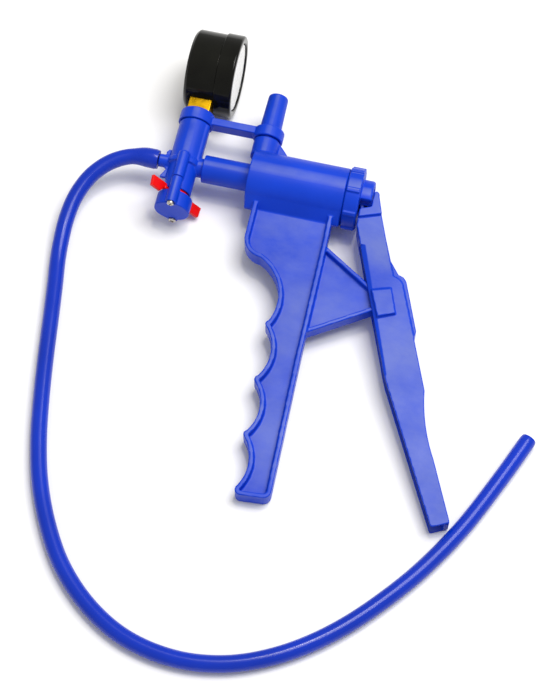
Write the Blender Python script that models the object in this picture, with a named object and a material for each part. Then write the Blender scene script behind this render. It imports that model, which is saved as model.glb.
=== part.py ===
"""A pistol-grip hand vacuum pump with a dial gauge, a red release valve and a loose hose.

The pump is described in its own frame, in millimetres: the barrel's axis is X, towards the palm lever,
+Y points from the grip to the gauge and Z is square to both. The pump lies on its side, on the gauge's
rim and the foot of the grip, so its frame is tilted a little about X against the world's frame.
"""

import math

import bmesh
import bpy
from mathutils import Matrix, Vector

MM = 0.001
FINE = 48
ROUND = 32
SMALL = 16
TINY = 10
GAP = 0.3

# Barrel, neck and end cap, along X
BARREL_R = 14.3
BARREL_START_X = -25.4
BARREL_END_X = 23.4
THREAD_R = 13.4
THREAD_END_X = 28.5
BORE_R = 12.0
BORE_START_X = -22.4
NECK_R = 7.0
NECK_START_X = -49.5
SOCKET_R = 5.2
SOCKET_END_X = -34.0
CHECK_ROOM_R = 4.0
CHECK_ROOM_END_X = -27.0
INLET_PORT_R = 1.6
KEEL_START_X = -24.9
KEEL_END_X = 23.0
KEEL_BOTTOM_Y = -17.2
CAP_R = 15.3
CAP_LUG_R = 16.2
CAP_START_X = 23.8
CAP_WALL_X = 28.9
CAP_END_X = 31.0
HOOD_R = 10.4
HOOD_END_X = 36.9
HOOD_FLAT_Y = -4.0
LUG_COUNT = 8

# Exhaust boss, check valve and nozzle, along Y
EXHAUST_X = -21.8
BOSS_R = 6.7
BOSS_TOP_Y = 21.7
BOSS_BORE_R = 4.3
BOSS_BORE_END_Y = 15.6
EXHAUST_PORT_X = -20.2
EXHAUST_PORT_R = 1.4
NOZZLE_FOOT_R = 5.6
NOZZLE_TOP_R = 5.05
NOZZLE_TOP_Y = 48.3
NOZZLE_BORE_R = 2.2

# Rod, piston and spring, along X
ROD_R = 5.7
ROD_END_X = 37.8
ROD_START_X = -12.7
ROD_PIN_X = 34.5
ROD_PIN_R = 2.0
ROD_SLOT_X = 28.0
ROD_SLOT_HALF = 3.6
PISTON_R = 11.4
PISTON_FRONT_X = -21.9
PISTON_BACK_X = -13.0
SEAL_R = 11.7
SPRING_R = 9.1
SPRING_WIRE_R = 0.65
SPRING_TURNS = 8

# Lever and its pivot
PIVOT_X = 54.2
PIVOT_Y = -55.0
ARM_ANGLE = math.atan2(PIVOT_X - ROD_PIN_X, -PIVOT_Y)
PIVOT_R = 2.0
HUB_R = 5.5
CHANNEL_HALF = 4.0
LEVER_TOP_HALF = 6.3
LEVER_FOOT_HALF = 4.9
LEVER_FOOT_Y = -162.1
HEAD_HALF = 8.0
HEAD_ALONG = 46.8
TONGUE_HALF = 3.2
TONGUE_WIDTH_HALF = 4.4
SLOT_R = 2.5
SLOT_ALONG = (54.6, 58.4)

# Grip and bracket
GRIP_HALF = 4.8
GRIP_RIM = 2.2
WEB_HALF = 1.0
BRACKET_HALF = 3.7
FINGER_HOLLOWS = [
    ((2.5, -60.0), (0.2, -77.8), 9),
    ((6.0, -91.0), (1.5, -107.2), 7),
    ((7.2, -120.0), (2.8, -135.6), 7),
]
BRACKET_RIM = 2.0

# Manifold and release valve, along Y
MANIFOLD_X = -59.5
MANIFOLD_R = 7.9
MANIFOLD_LOW_R = 7.2
MANIFOLD_RING_R = 8.6
MANIFOLD_TOP_Y = 29.2
MANIFOLD_SHOULDER_Y = 23.0
MANIFOLD_BOTTOM_Y = -16.9
COLLAR_SPIGOT_R = 7.4
VALVE_CAVITY_R = 6.2
VALVE_ROOF_Y = -10.0
STEM_BORE_R = 4.6
STEM_BORE_END_Y = 12.0
PASSAGE_R = 1.6
SPIGOT_R = 4.9
SPIGOT_END_X = -35.2
NIPPLE_R = 3.3
NIPPLE_END_X = -72.4
HOUSING_R = 8.9
HOUSING_BOTTOM_Y = -27.0
HOUSING_RIM_Y = -19.1
COLUMN_R = 2.9
COLUMN_Z = 8.3
COLUMN_TOP_Y = -12.3
SCREW_Z = 8.9
SCREW_R = 1.0
ROTOR_R = 5.9
ROTOR_REST_DEG = 49.0
WING_REACH = 17.4
WING_HALF = 0.95
WING_TOP_Y = -15.7
WING_FOOT_Y = -21.3

# Tie strap between the manifold's top and the nozzle's foot
STRAP_HALF = 3.4
STRAP_LOW_Y = 24.0
STRAP_HIGH_Y = 28.0
COLLAR_R = 8.8
STRAP_EYE_R = 7.6

# Gauge, along X
GAUGE_Y = 55.8
CASE_R = 20.5
CASE_BACK_X = -69.2
CASE_STEP_X = -53.4
CASE_FRONT_X = -48.1
CASE_INNER_R = 18.6
BEZEL_R = 21.3
BEZEL_INNER_R = 17.5
BEZEL_FRONT_X = -44.3
LENS_DEPTH = 2.2
LENS_FRONT_X = -44.9
STEM_HALF = 5.6
POINTER_REST_DEG = 45.0

# How the pump lies on the table: it touches with the bezel's rim and the foot of the grip
GRIP_FOOT_Y = -166.5
REACH = math.hypot(GAUGE_Y - GRIP_FOOT_Y, GRIP_HALF)
TILT = math.asin(BEZEL_R / REACH) - math.atan2(GRIP_HALF, GAUGE_Y - GRIP_FOOT_Y)
AXIS_HEIGHT = -GRIP_FOOT_Y * math.sin(TILT) + GRIP_HALF * math.cos(TILT)
FRAME_X = -16.65
FRAME_Y = 44.73

# Hose, in the world's frame: it leaves the nipple, sinks to the table and lies there in one loose bow
HOSE_R = 4.0
HOSE_POINTS = 58
HOSE_ROUTE = [
    (-98.2, 44.6, 17.2),
    (-105.9, 42.7, 16.8),
    (-113.2, 38.3, 15.9),
    (-119.2, 32.0, 14.5),
    (-123.2, 25.1, 12.7),
    (-126.2, 16.0, 10.3),
    (-127.4, 5.4, 7.7),
    (-127.1, -5.5, 5.6),
    (-125.9, -16.5, 4.4),
    (-123.4, -30.5, 4.1),
    (-120.2, -49.5, 4.1),
    (-116.7, -71.0, 4.1),
    (-112.7, -92.5, 4.1),
    (-108.1, -113.0, 4.1),
    (-102.0, -132.7, 4.1),
    (-93.4, -151.7, 4.1),
    (-81.9, -170.1, 4.1),
    (-67.7, -184.9, 4.1),
    (-51.7, -195.7, 4.1),
    (-35.3, -201.8, 4.1),
    (-16.6, -204.0, 4.1),
    (1.8, -201.7, 4.1),
    (18.4, -195.7, 4.1),
    (34.8, -186.1, 4.1),
    (50.8, -172.9, 4.1),
    (66.1, -156.3, 4.1),
    (81.1, -136.5, 4.1),
    (95.6, -111.9, 4.1),
    (108.3, -84.0, 4.1),
    (118.1, -60.1, 4.1),
]

BLUE = (0.035, 0.085, 0.72, 1.0)
HOSE_BLUE = (0.01, 0.04, 0.55, 1.0)
RED = (0.80, 0.02, 0.0, 1.0)
BLACK = (0.006, 0.006, 0.006, 1.0)
RUBBER_BLACK = (0.02, 0.02, 0.022, 1.0)
WHITE = (0.85, 0.86, 0.86, 1.0)
CLEAR = (0.92, 0.96, 0.97, 0.3)
BRASS = (0.75, 0.50, 0.08, 1.0)
STEEL = (0.55, 0.55, 0.56, 1.0)


def clear_scene():
    """Empties the scene of the objects that Blender starts with."""
    for found in list(bpy.data.objects):
        bpy.data.objects.remove(found, do_unlink=True)


def make_material(name, colour, roughness, metallic=0.0):
    """One Principled material."""
    material = bpy.data.materials.new(name)
    material.use_nodes = True
    shader = material.node_tree.nodes["Principled BSDF"]
    shader.inputs["Base Color"].default_value = colour
    shader.inputs["Alpha"].default_value = colour[3]
    shader.inputs["Roughness"].default_value = roughness
    shader.inputs["Metallic"].default_value = metallic
    return material


def make_frame():
    """The empty that carries the pump's own frame, tilted as the pump lies."""
    frame = bpy.data.objects.new("pump_frame", None)
    frame.location = (FRAME_X * MM, FRAME_Y * MM, AXIS_HEIGHT * MM)
    frame.rotation_euler = (TILT, 0.0, 0.0)
    bpy.context.scene.collection.objects.link(frame)
    return frame


# ---- Shapes: each returns a bmesh with its points in the pump's frame, in millimetres ----


def turned(profile, axis="X", centre=(0.0, 0.0, 0.0), segments=ROUND):
    """A closed solid of revolution. The profile is a closed loop of (distance along the axis, radius)."""
    shape = bmesh.new()
    rings = []
    phase = {"X": 0.5, "Y": 0.0, "Z": 0.3}[axis]
    for along, radius in profile:
        ring = []
        for step in range(1 if radius == 0.0 else segments):
            angle = 2.0 * math.pi * (step + phase) / segments
            across = radius * math.cos(angle)
            over = radius * math.sin(angle)
            spot = {
                "X": (along, across, over),
                "Y": (over, along, across),
                "Z": (across, over, along),
            }[axis]
            ring.append(shape.verts.new(Vector(spot) + Vector(centre)))
        rings.append(ring)
    for number, near in enumerate(rings):
        other = (number + 1) % len(rings)
        far = rings[other]
        if 1 in (len(near), len(far)) and profile[number][0] == profile[other][0]:
            shape.faces.new(max(near, far, key=len))
            continue
        for step in range(segments if len(near) + len(far) > 2 else 0):
            after = (step + 1) % segments
            corners = [near[step % len(near)], near[after % len(near)]]
            corners += [far[after % len(far)], far[step % len(far)]]
            shape.faces.new(list(dict.fromkeys(corners)))
    for vert in [vert for vert in shape.verts if not vert.link_faces]:
        shape.verts.remove(vert)
    bmesh.ops.recalc_face_normals(shape, faces=shape.faces)
    return shape


def cylinder(radius, start, end, axis="X", centre=(0.0, 0.0, 0.0), segments=ROUND):
    """A plain cylinder between two distances along the axis."""
    return turned([(start, 0.0), (start, radius), (end, radius), (end, 0.0)], axis, centre, segments)


def slab(outline, low, high):
    """A prism on an outline in the XY plane, from one height to another."""
    shape = bmesh.new()
    floor = shape.faces.new([shape.verts.new((x, y, low)) for x, y in outline])
    extruded = bmesh.ops.extrude_face_region(shape, geom=[floor])
    raised = [item for item in extruded["geom"] if isinstance(item, bmesh.types.BMVert)]
    bmesh.ops.translate(shape, verts=raised, vec=(0.0, 0.0, high - low))
    bmesh.ops.recalc_face_normals(shape, faces=shape.faces)
    return shape


def block(low, high):
    """A box between two corners."""
    (x0, y0, z0), (x1, y1, z1) = low, high
    return slab([(x0, y0), (x1, y0), (x1, y1), (x0, y1)], z0, z1)


def beam(start, end, section):
    """A bar between two points of the XY plane. The section is a loop of (distance to the left, height)."""
    run = Vector((end[0] - start[0], end[1] - start[1])).normalized()
    aside = Vector((-run.y, run.x))
    shape = bmesh.new()
    ends = []
    for x, y in (start, end):
        ends.append([shape.verts.new((x + aside.x * over, y + aside.y * over, z)) for over, z in section])
    near, far = ends
    shape.faces.new(near)
    shape.faces.new(far[::-1])
    for one in range(len(section)):
        two = (one + 1) % len(section)
        shape.faces.new([near[two], near[one], far[one], far[two]])
    bmesh.ops.recalc_face_normals(shape, faces=shape.faces)
    return shape


def merged(first, *others):
    """Puts separate shapes into one bmesh."""
    for other in others:
        copy = bpy.data.meshes.new("merged")
        other.to_mesh(copy)
        other.free()
        first.from_mesh(copy)
        bpy.data.meshes.remove(copy)
    return first


def arc_through(start, via, end, steps):
    """Points on the circle through three points, from the first to the last, without the first."""
    (ax, ay), (bx, by), (cx, cy) = start, via, end
    d = 2.0 * (ax * (by - cy) + bx * (cy - ay) + cx * (ay - by))
    a2, b2, c2 = ax * ax + ay * ay, bx * bx + by * by, cx * cx + cy * cy
    ox = (a2 * (by - cy) + b2 * (cy - ay) + c2 * (ay - by)) / d
    oy = (a2 * (cx - bx) + b2 * (ax - cx) + c2 * (bx - ax)) / d
    radius = math.hypot(ax - ox, ay - oy)
    first = math.atan2(ay - oy, ax - ox)
    middle = (math.atan2(by - oy, bx - ox) - first) % (2.0 * math.pi)
    last = (math.atan2(cy - oy, cx - ox) - first) % (2.0 * math.pi)
    sweep = last if middle < last else last - 2.0 * math.pi
    angles = [first + sweep * step / steps for step in range(1, steps + 1)]
    return [(ox + radius * math.cos(angle), oy + radius * math.sin(angle)) for angle in angles]


def arm_point(across, along):
    """A point of the lever's upper arm: across it and along it from the pivot, in the pump's frame at rest."""
    turn_cos, turn_sin = math.cos(ARM_ANGLE), math.sin(ARM_ANGLE)
    return (
        PIVOT_X + across * turn_cos - along * turn_sin,
        PIVOT_Y + across * turn_sin + along * turn_cos,
    )


def arm_capsule(radius, start, end, steps=8):
    """The outline of a round-ended slot on the lever's centre line."""
    points = []
    for centre, first in ((end, 0.0), (start, math.pi)):
        for step in range(steps + 1):
            angle = first + math.pi * step / steps
            points.append(arm_point(radius * math.cos(angle), centre + radius * math.sin(angle)))
    return points


# ---- Objects ----


def add(name, shape, material, origin=(0.0, 0.0, 0.0)):
    """Adds a sub-part; its origin goes to a point of the pump's frame."""
    bmesh.ops.translate(shape, verts=shape.verts, vec=-Vector(origin))
    bmesh.ops.scale(shape, verts=shape.verts, vec=(MM, MM, MM))
    mesh = bpy.data.meshes.new(name)
    shape.to_mesh(mesh)
    shape.free()
    mesh.shade_smooth()
    mesh.set_sharp_from_angle(angle=math.radians(35.0))
    made = bpy.data.objects.new(name, mesh)
    made.parent = bpy.data.objects["pump_frame"]
    made.location = Vector(origin) * MM
    if material:
        made.data.materials.append(material)
    bpy.context.scene.collection.objects.link(made)
    return made


def add_tool(name, shape):
    """Adds a hidden shape that is joined to a sub-part or cut from it."""
    tool = add(name, shape, None)
    tool.hide_render = True
    tool.display_type = "WIRE"
    return tool


def combine(target, shape, operation):
    """Joins a shape to a sub-part or cuts it away."""
    number = len(target.modifiers) + 1
    tool = add_tool(f"{target.name}_tool_{number}", shape)
    modifier = target.modifiers.new(f"{operation.lower()}_{number}", "BOOLEAN")
    modifier.operation = operation
    modifier.object = tool
    modifier.solver = "EXACT"


def join(target, shape):
    combine(target, shape, "UNION")


def cut(target, shape):
    combine(target, shape, "DIFFERENCE")


# ---- Pump body: barrel, neck, exhaust boss, grip and bracket in one moulding ----


def grip_outline():
    """The grip seen from the side: a straight back, and a front with one large and three small hollows."""
    points = [(19.5, -6.0), (-20.3, -6.0), (-20.3, -32.5)]
    points += arc_through((-20.3, -32.5), (-17.6, -40.7), (-10.2, -44.3), 5)
    start = (-10.2, -44.3)
    for via, tip, steps in FINGER_HOLLOWS:
        end = (tip[0] + 1.2, tip[1] + 1.4)
        points += arc_through(start, via, end, steps)
        start = (tip[0] + 0.4, tip[1] - 1.6)
        points += arc_through(end, tip, start, 3)
    points += arc_through(start, (8.5, -149.5), (5.2, -163.0), 7)
    points += arc_through((5.2, -163.0), (5.9, -165.6), (8.4, GRIP_FOOT_Y), 4)
    points += [(18.4, -165.7)]
    points += arc_through((18.4, -165.7), (21.2, -164.4), (22.2, -161.4), 4)
    points += [(20.6, -90.0), (20.2, -30.0)]
    return points


def grip_shape():
    """An I-section slab: the rim keeps the full width and both sides are sunk to the web."""
    shape = slab(grip_outline(), -GRIP_HALF, GRIP_HALF)
    for side in (1.0, -1.0):
        shape.normal_update()
        face = max(shape.faces, key=lambda f: f.calc_area() * (f.normal.z * side > 0.9))
        bmesh.ops.inset_region(shape, faces=[face], thickness=GRIP_RIM, use_even_offset=True)
        sunk = bmesh.ops.extrude_face_region(shape, geom=[face])
        moved = [item for item in sunk["geom"] if isinstance(item, bmesh.types.BMVert)]
        bmesh.ops.delete(shape, geom=[face], context="FACES")
        bmesh.ops.translate(shape, verts=moved, vec=(0.0, 0.0, -side * (GRIP_HALF - WEB_HALF)))
    return shape


def strip(start, end, thickness, half):
    """A straight flange: its outer edge runs from start to end and its thickness lies to the left of that."""
    run = Vector((end[0] - start[0], end[1] - start[1])).normalized()
    inward = Vector((-run.y, run.x)) * thickness
    inner_end = (end[0] + inward.x, end[1] + inward.y)
    inner_start = (start[0] + inward.x, start[1] + inward.y)
    return slab([start, end, inner_end, inner_start], -half, half)


def make_body(blue):
    barrel = turned(
        [
            (NECK_START_X, 0.0),
            (NECK_START_X, NECK_R),
            (BARREL_START_X, NECK_R),
            (BARREL_START_X, BARREL_R - 0.5),
            (BARREL_START_X + 0.5, BARREL_R),
            (BARREL_END_X, BARREL_R),
            (BARREL_END_X, THREAD_R),
            (THREAD_END_X, THREAD_R),
            (THREAD_END_X, 0.0),
        ],
        segments=FINE,
    )
    body = add("pump_body", barrel, blue)
    keel = [(-6.0, 8.0), (-11.7, 8.0), (KEEL_BOTTOM_Y, 0.9)]
    keel += [(KEEL_BOTTOM_Y, -0.9), (-11.7, -8.0), (-6.0, -8.0)]
    join(body, beam((KEEL_START_X, 0.0), (KEEL_END_X, 0.0), keel))
    join(body, grip_shape())
    boss_foot = (EXHAUST_X, 0.0, 0.0)
    join(body, cylinder(BOSS_R, 12.0, BOSS_TOP_Y, "Y", boss_foot))
    join(body, slab([(-17.0, 12.0), (-6.5, 12.0), (-14.6, 21.0), (-17.0, 21.0)], -1.3, 1.3))

    top_start, top_end = (19.0, -30.0), (50.8, -50.4)
    low_start, low_end = (19.0, -79.2), (50.8, -58.8)
    join(body, slab([top_start, low_start, low_end, top_end], -WEB_HALF + 0.1, WEB_HALF - 0.1))
    join(body, strip(top_end, top_start, BRACKET_RIM, BRACKET_HALF))
    join(body, strip(low_start, low_end, BRACKET_RIM, BRACKET_HALF))
    pivot = (PIVOT_X, PIVOT_Y, 0.0)
    join(body, cylinder(HUB_R, -BRACKET_HALF, BRACKET_HALF, "Z", pivot, SMALL))

    cut(body, cylinder(PIVOT_R + GAP, -9.0, 9.0, "Z", pivot, SMALL))
    bores = turned(
        [
            (NECK_START_X - 5.0, 0.0),
            (NECK_START_X - 5.0, SOCKET_R),
            (SOCKET_END_X, SOCKET_R),
            (SOCKET_END_X, CHECK_ROOM_R),
            (CHECK_ROOM_END_X, CHECK_ROOM_R),
            (CHECK_ROOM_END_X, INLET_PORT_R),
            (BORE_START_X, INLET_PORT_R),
            (BORE_START_X, BORE_R),
            (THREAD_END_X + 5.0, BORE_R),
            (THREAD_END_X + 5.0, 0.0),
        ],
        segments=FINE,
    )
    cut(body, bores)
    cut(body, cylinder(BOSS_BORE_R, BOSS_BORE_END_Y, BOSS_TOP_Y + 4.0, "Y", boss_foot))
    port_foot = (EXHAUST_PORT_X, 0.0, 0.0)
    cut(body, cylinder(EXHAUST_PORT_R, 9.0, BOSS_BORE_END_Y + 1.0, "Y", port_foot, SMALL))


def make_end_cap(blue):
    """The ribbed ring on the barrel's mouth, with a hooded rod guide that is open on the lever's side."""
    ring = turned(
        [
            (CAP_START_X, THREAD_R + GAP),
            (CAP_START_X, CAP_R - 0.4),
            (CAP_START_X + 0.4, CAP_R),
            (CAP_END_X - 0.4, CAP_R),
            (CAP_END_X, CAP_R - 0.4),
            (CAP_END_X, ROD_R + GAP),
            (CAP_WALL_X, ROD_R + GAP),
            (CAP_WALL_X, THREAD_R + GAP),
        ],
        segments=FINE,
    )
    cap = add("end_cap", ring, blue)
    hood = turned(
        [
            (CAP_END_X - 0.8, ROD_R + 1.9),
            (CAP_END_X - 0.8, HOOD_R),
            (HOOD_END_X - 2.2, HOOD_R),
            (HOOD_END_X - 1.1, HOOD_R - 0.4),
            (HOOD_END_X - 0.3, HOOD_R - 1.2),
            (HOOD_END_X, HOOD_R - 2.2),
            (HOOD_END_X, ROD_R + 1.9),
        ],
    )
    below = bmesh.ops.bisect_plane(
        hood,
        geom=hood.verts[:] + hood.edges[:] + hood.faces[:],
        plane_co=(0.0, HOOD_FLAT_Y, 0.0),
        plane_no=(0.0, -1.0, 0.0),
        clear_outer=True,
    )
    open_edges = [item for item in below["geom_cut"] if isinstance(item, bmesh.types.BMEdge)]
    bmesh.ops.holes_fill(hood, edges=open_edges)
    bmesh.ops.recalc_face_normals(hood, faces=hood.faces)
    join(cap, hood)
    for number in range(LUG_COUNT):
        lug = block((CAP_START_X + 0.3, -1.1, CAP_R - 0.7), (CAP_END_X - 0.3, 1.1, CAP_LUG_R))
        angle = 2.0 * math.pi * (number + 0.28) / LUG_COUNT
        turn = Matrix.Rotation(angle, 3, "X")
        bmesh.ops.rotate(lug, verts=lug.verts, cent=(0.0, 0.0, 0.0), matrix=turn)
        join(cap, lug)


# ---- Exhaust: check valve and nozzle ----


def make_exhaust(blue, rubber):
    foot = (EXHAUST_X, 0.0, 0.0)
    nozzle = turned(
        [
            (17.8, NOZZLE_BORE_R),
            (17.8, BOSS_BORE_R - GAP),
            (BOSS_TOP_Y + GAP, BOSS_BORE_R - GAP),
            (BOSS_TOP_Y + GAP, NOZZLE_FOOT_R),
            (29.0, NOZZLE_FOOT_R - 0.1),
            (NOZZLE_TOP_Y - 0.7, NOZZLE_TOP_R),
            (NOZZLE_TOP_Y, NOZZLE_TOP_R - 0.7),
            (NOZZLE_TOP_Y, NOZZLE_BORE_R),
        ],
        "Y",
        foot,
    )
    add("exhaust_nozzle", nozzle, blue)
    valve = turned(
        [(15.9, 0.0), (15.9, 2.9), (16.4, 3.9), (16.9, 3.9), (17.2, 1.1), (20.0, 1.1), (20.6, 0.0)],
        "Y",
        foot,
        SMALL,
    )
    add("exhaust_check_valve", valve, rubber)


def make_inlet_valve(rubber):
    """A duckbill valve in the neck: a flange and a tapered beak with a bore."""
    beak = turned(
        [(-33.6, 1.4), (-33.6, 3.7), (-32.4, 3.7), (-32.4, 2.4), (-28.0, 1.1), (-28.0, 0.5), (-31.5, 1.4)],
        segments=SMALL,
    )
    add("inlet_check_valve", beak, rubber)


# ---- Piston, rod and spring ----


def make_piston(plastic, rubber, blue, steel):
    axis_point = (PISTON_BACK_X, 0.0, 0.0)
    spool = turned(
        [
            (PISTON_FRONT_X, 4.1),
            (PISTON_FRONT_X, PISTON_R),
            (-19.6, PISTON_R),
            (-19.6, 7.6),
            (-15.2, 7.6),
            (-15.2, PISTON_R),
            (PISTON_BACK_X, PISTON_R),
            (PISTON_BACK_X, 3.8),
            (-17.3, 3.8),
            (-17.3, 2.2),
            (-19.4, 2.2),
            (-19.4, 4.1),
        ],
    )
    add("piston", spool, plastic, axis_point)
    cup = [(-19.3, 7.9), (-19.3, 8.9), (-17.0, 9.8), (-19.3, 11.1), (-19.3, SEAL_R), (-15.5, 11.5), (-15.5, 7.9)]
    add("piston_seal", turned(cup), rubber, axis_point)
    screw = [(-21.6, 0.0), (-21.6, 3.7), (-19.8, 3.7), (-19.8, 1.8), (-8.0, 1.8), (-8.0, 0.0)]
    add("piston_screw", turned(screw, segments=SMALL), steel, axis_point)
    rod = turned(
        [
            (-17.0, 2.2),
            (-17.0, 3.5),
            (ROD_START_X, 3.5),
            (ROD_START_X, ROD_R),
            (ROD_END_X - 0.5, ROD_R),
            (ROD_END_X, ROD_R - 0.5),
            (ROD_END_X, 0.0),
            (-6.0, 0.0),
            (-6.0, 2.2),
        ],
    )
    moving_rod = add("piston_rod", rod, blue, axis_point)
    cut(moving_rod, block((ROD_SLOT_X, -9.0, -ROD_SLOT_HALF), (ROD_END_X + 4.0, 9.0, ROD_SLOT_HALF)))
    pin_line = (ROD_PIN_X, 0.0, 0.0)
    cut(moving_rod, cylinder(ROD_PIN_R + GAP, -9.0, 9.0, "Z", pin_line, SMALL))
    add("rod_pin", cylinder(ROD_PIN_R, -5.2, 5.2, "Z", pin_line, SMALL), steel, axis_point)


def make_spring(steel):
    """The return spring: an open coil between the piston's back and the cap's wall."""
    start = PISTON_BACK_X + GAP + SPRING_WIRE_R
    end = CAP_WALL_X - GAP - SPRING_WIRE_R
    per_turn = 12
    count = SPRING_TURNS * per_turn
    curve = bpy.data.curves.new("return_spring", "CURVE")
    curve.dimensions = "3D"
    curve.bevel_depth = SPRING_WIRE_R * MM
    curve.bevel_resolution = 1
    curve.use_fill_caps = True
    line = curve.splines.new("POLY")
    line.points.add(count)
    for step in range(count + 1):
        angle = 2.0 * math.pi * step / per_turn
        along = start + (end - start) * step / count
        spot = Vector((along, SPRING_R * math.cos(angle), SPRING_R * math.sin(angle))) * MM
        line.points[step].co = (*spot, 1.0)
    curve.materials.append(steel)
    spring = bpy.data.objects.new("return_spring", curve)
    spring.parent = bpy.data.objects["pump_frame"]
    bpy.context.scene.collection.objects.link(spring)


# ---- Palm lever ----


def lever_cheek_outline():
    """The flat cheeks of the lever, without the head: the left edge down and the right edge up."""
    points = [(31.9, -11.9), (32.4, -17.2), (42.9, -44.9), (58.7, -85.3)]
    points += arc_through((58.7, -85.3), (61.4, -92.4), (64.9, -99.5), 3)
    points += [(97.4, LEVER_FOOT_Y), (98.4, LEVER_FOOT_Y), (105.7, -158.5), (105.4, -157.3), (92.6, -129.4)]
    points += arc_through((92.6, -129.4), (85.6, -113.0), (81.9, -96.3), 6)
    points += [(71.0, -69.0), (60.6, -43.6)]
    points += arc_through((60.6, -43.6), (58.6, -41.6), (55.4, -40.4), 3)
    points += [(52.4, -33.0), (42.6, -7.4)]
    return points


def lever_spine_outline():
    """The palm wall and the bulge round the pivot, which stands out past the cheeks."""
    points = [(44.0, -20.0), (60.0, -80.0), (75.0, -82.0), (71.6, -69.4), (72.0, -66.6), (62.4, -42.0)]
    points += arc_through((62.4, -42.0), (60.6, -39.8), (57.9, -38.9), 3)
    points += [(52.7, -32.4), (48.0, -21.0)]
    return points


def make_lever(blue):
    pivot = (PIVOT_X, PIVOT_Y, 0.0)
    cheeks = slab(lever_cheek_outline(), -1.0, 1.0)
    top_y = max(vert.co.y for vert in cheeks.verts)
    for vert in cheeks.verts:
        share = (vert.co.y - LEVER_FOOT_Y) / (top_y - LEVER_FOOT_Y)
        vert.co.z *= LEVER_FOOT_HALF + (LEVER_TOP_HALF - LEVER_FOOT_HALF) * share
    lever = add("lever", cheeks, blue, pivot)
    join(lever, slab(lever_spine_outline(), -4.9, 4.9))

    head = [arm_point(-6.5, HEAD_ALONG), arm_point(5.2, HEAD_ALONG), (40.2, 0.0)]
    head += arc_through((40.2, 0.0), (39.6, 1.8), (38.2, 2.4), 3)
    head += [(37.4, 1.8), (37.4, -6.4), (31.9, -8.8)]
    join(lever, slab(head, -HEAD_HALF, HEAD_HALF))
    room = [arm_point(-9.0, 48.4), arm_point(9.0, 48.4), arm_point(9.0, 70.0), arm_point(-9.0, 70.0)]
    cut(lever, slab(room, -ROD_R - 0.6, ROD_R + 0.6))
    tongue = [arm_point(-TONGUE_WIDTH_HALF, 44.0), arm_point(TONGUE_WIDTH_HALF, 44.0)]
    for step in range(9):
        angle = math.pi * step / 8
        reach = SLOT_ALONG[1] + TONGUE_WIDTH_HALF * math.sin(angle)
        tongue.append(arm_point(TONGUE_WIDTH_HALF * math.cos(angle), reach))
    join(lever, slab(tongue, -TONGUE_HALF, TONGUE_HALF))

    for side in (1.0, -1.0):
        low, high = sorted((side * 5.0, side * 8.0))
        pad = slab([(45.9, -49.4), (52.2, -64.2), (60.4, -60.6), (55.1, -46.4)], low, high)
        for vert in pad.verts:
            if vert.co.y > -55.0 and abs(vert.co.z) > 7.0:
                vert.co += Vector((0.8, -1.9, 0.0))
        join(lever, pad)
        slope = [(-1.0, side * 3.6), (-1.0, side * 8.0), (2.3, side * 8.0)]
        slope += [(2.3, side * 6.2), (0.0, side * 4.9)]
        cut(lever, beam((36.4, -27.5), (61.5, -93.0), slope))

    channel = [(34.5, -24.0), (44.4, -24.0), (50.8, -41.2), (57.4, -43.6), (68.6, -70.6), (79.2, -97.0)]
    channel += arc_through((79.2, -97.0), (83.0, -113.0), (90.0, -129.6), 4)
    channel += [(102.9, -157.8), (105.5, -167.0), (70.0, -167.0), (20.0, -50.0), (20.0, -24.0)]
    cut(lever, slab(channel, -CHANNEL_HALF, CHANNEL_HALF))
    cut(lever, slab(arm_capsule(SLOT_R, *SLOT_ALONG), -6.0, 6.0))
    cut(lever, cylinder(PIVOT_R + GAP, -12.0, 6.8, "Z", pivot, SMALL))
    add("pivot_pin", cylinder(PIVOT_R, -7.8, 6.5, "Z", pivot, SMALL), bpy.data.materials["steel"], pivot)


# ---- Manifold with the release valve ----


def upright(z):
    """A point on a line parallel to the manifold's axis, at a height across it."""
    return (MANIFOLD_X, 0.0, z)


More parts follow.
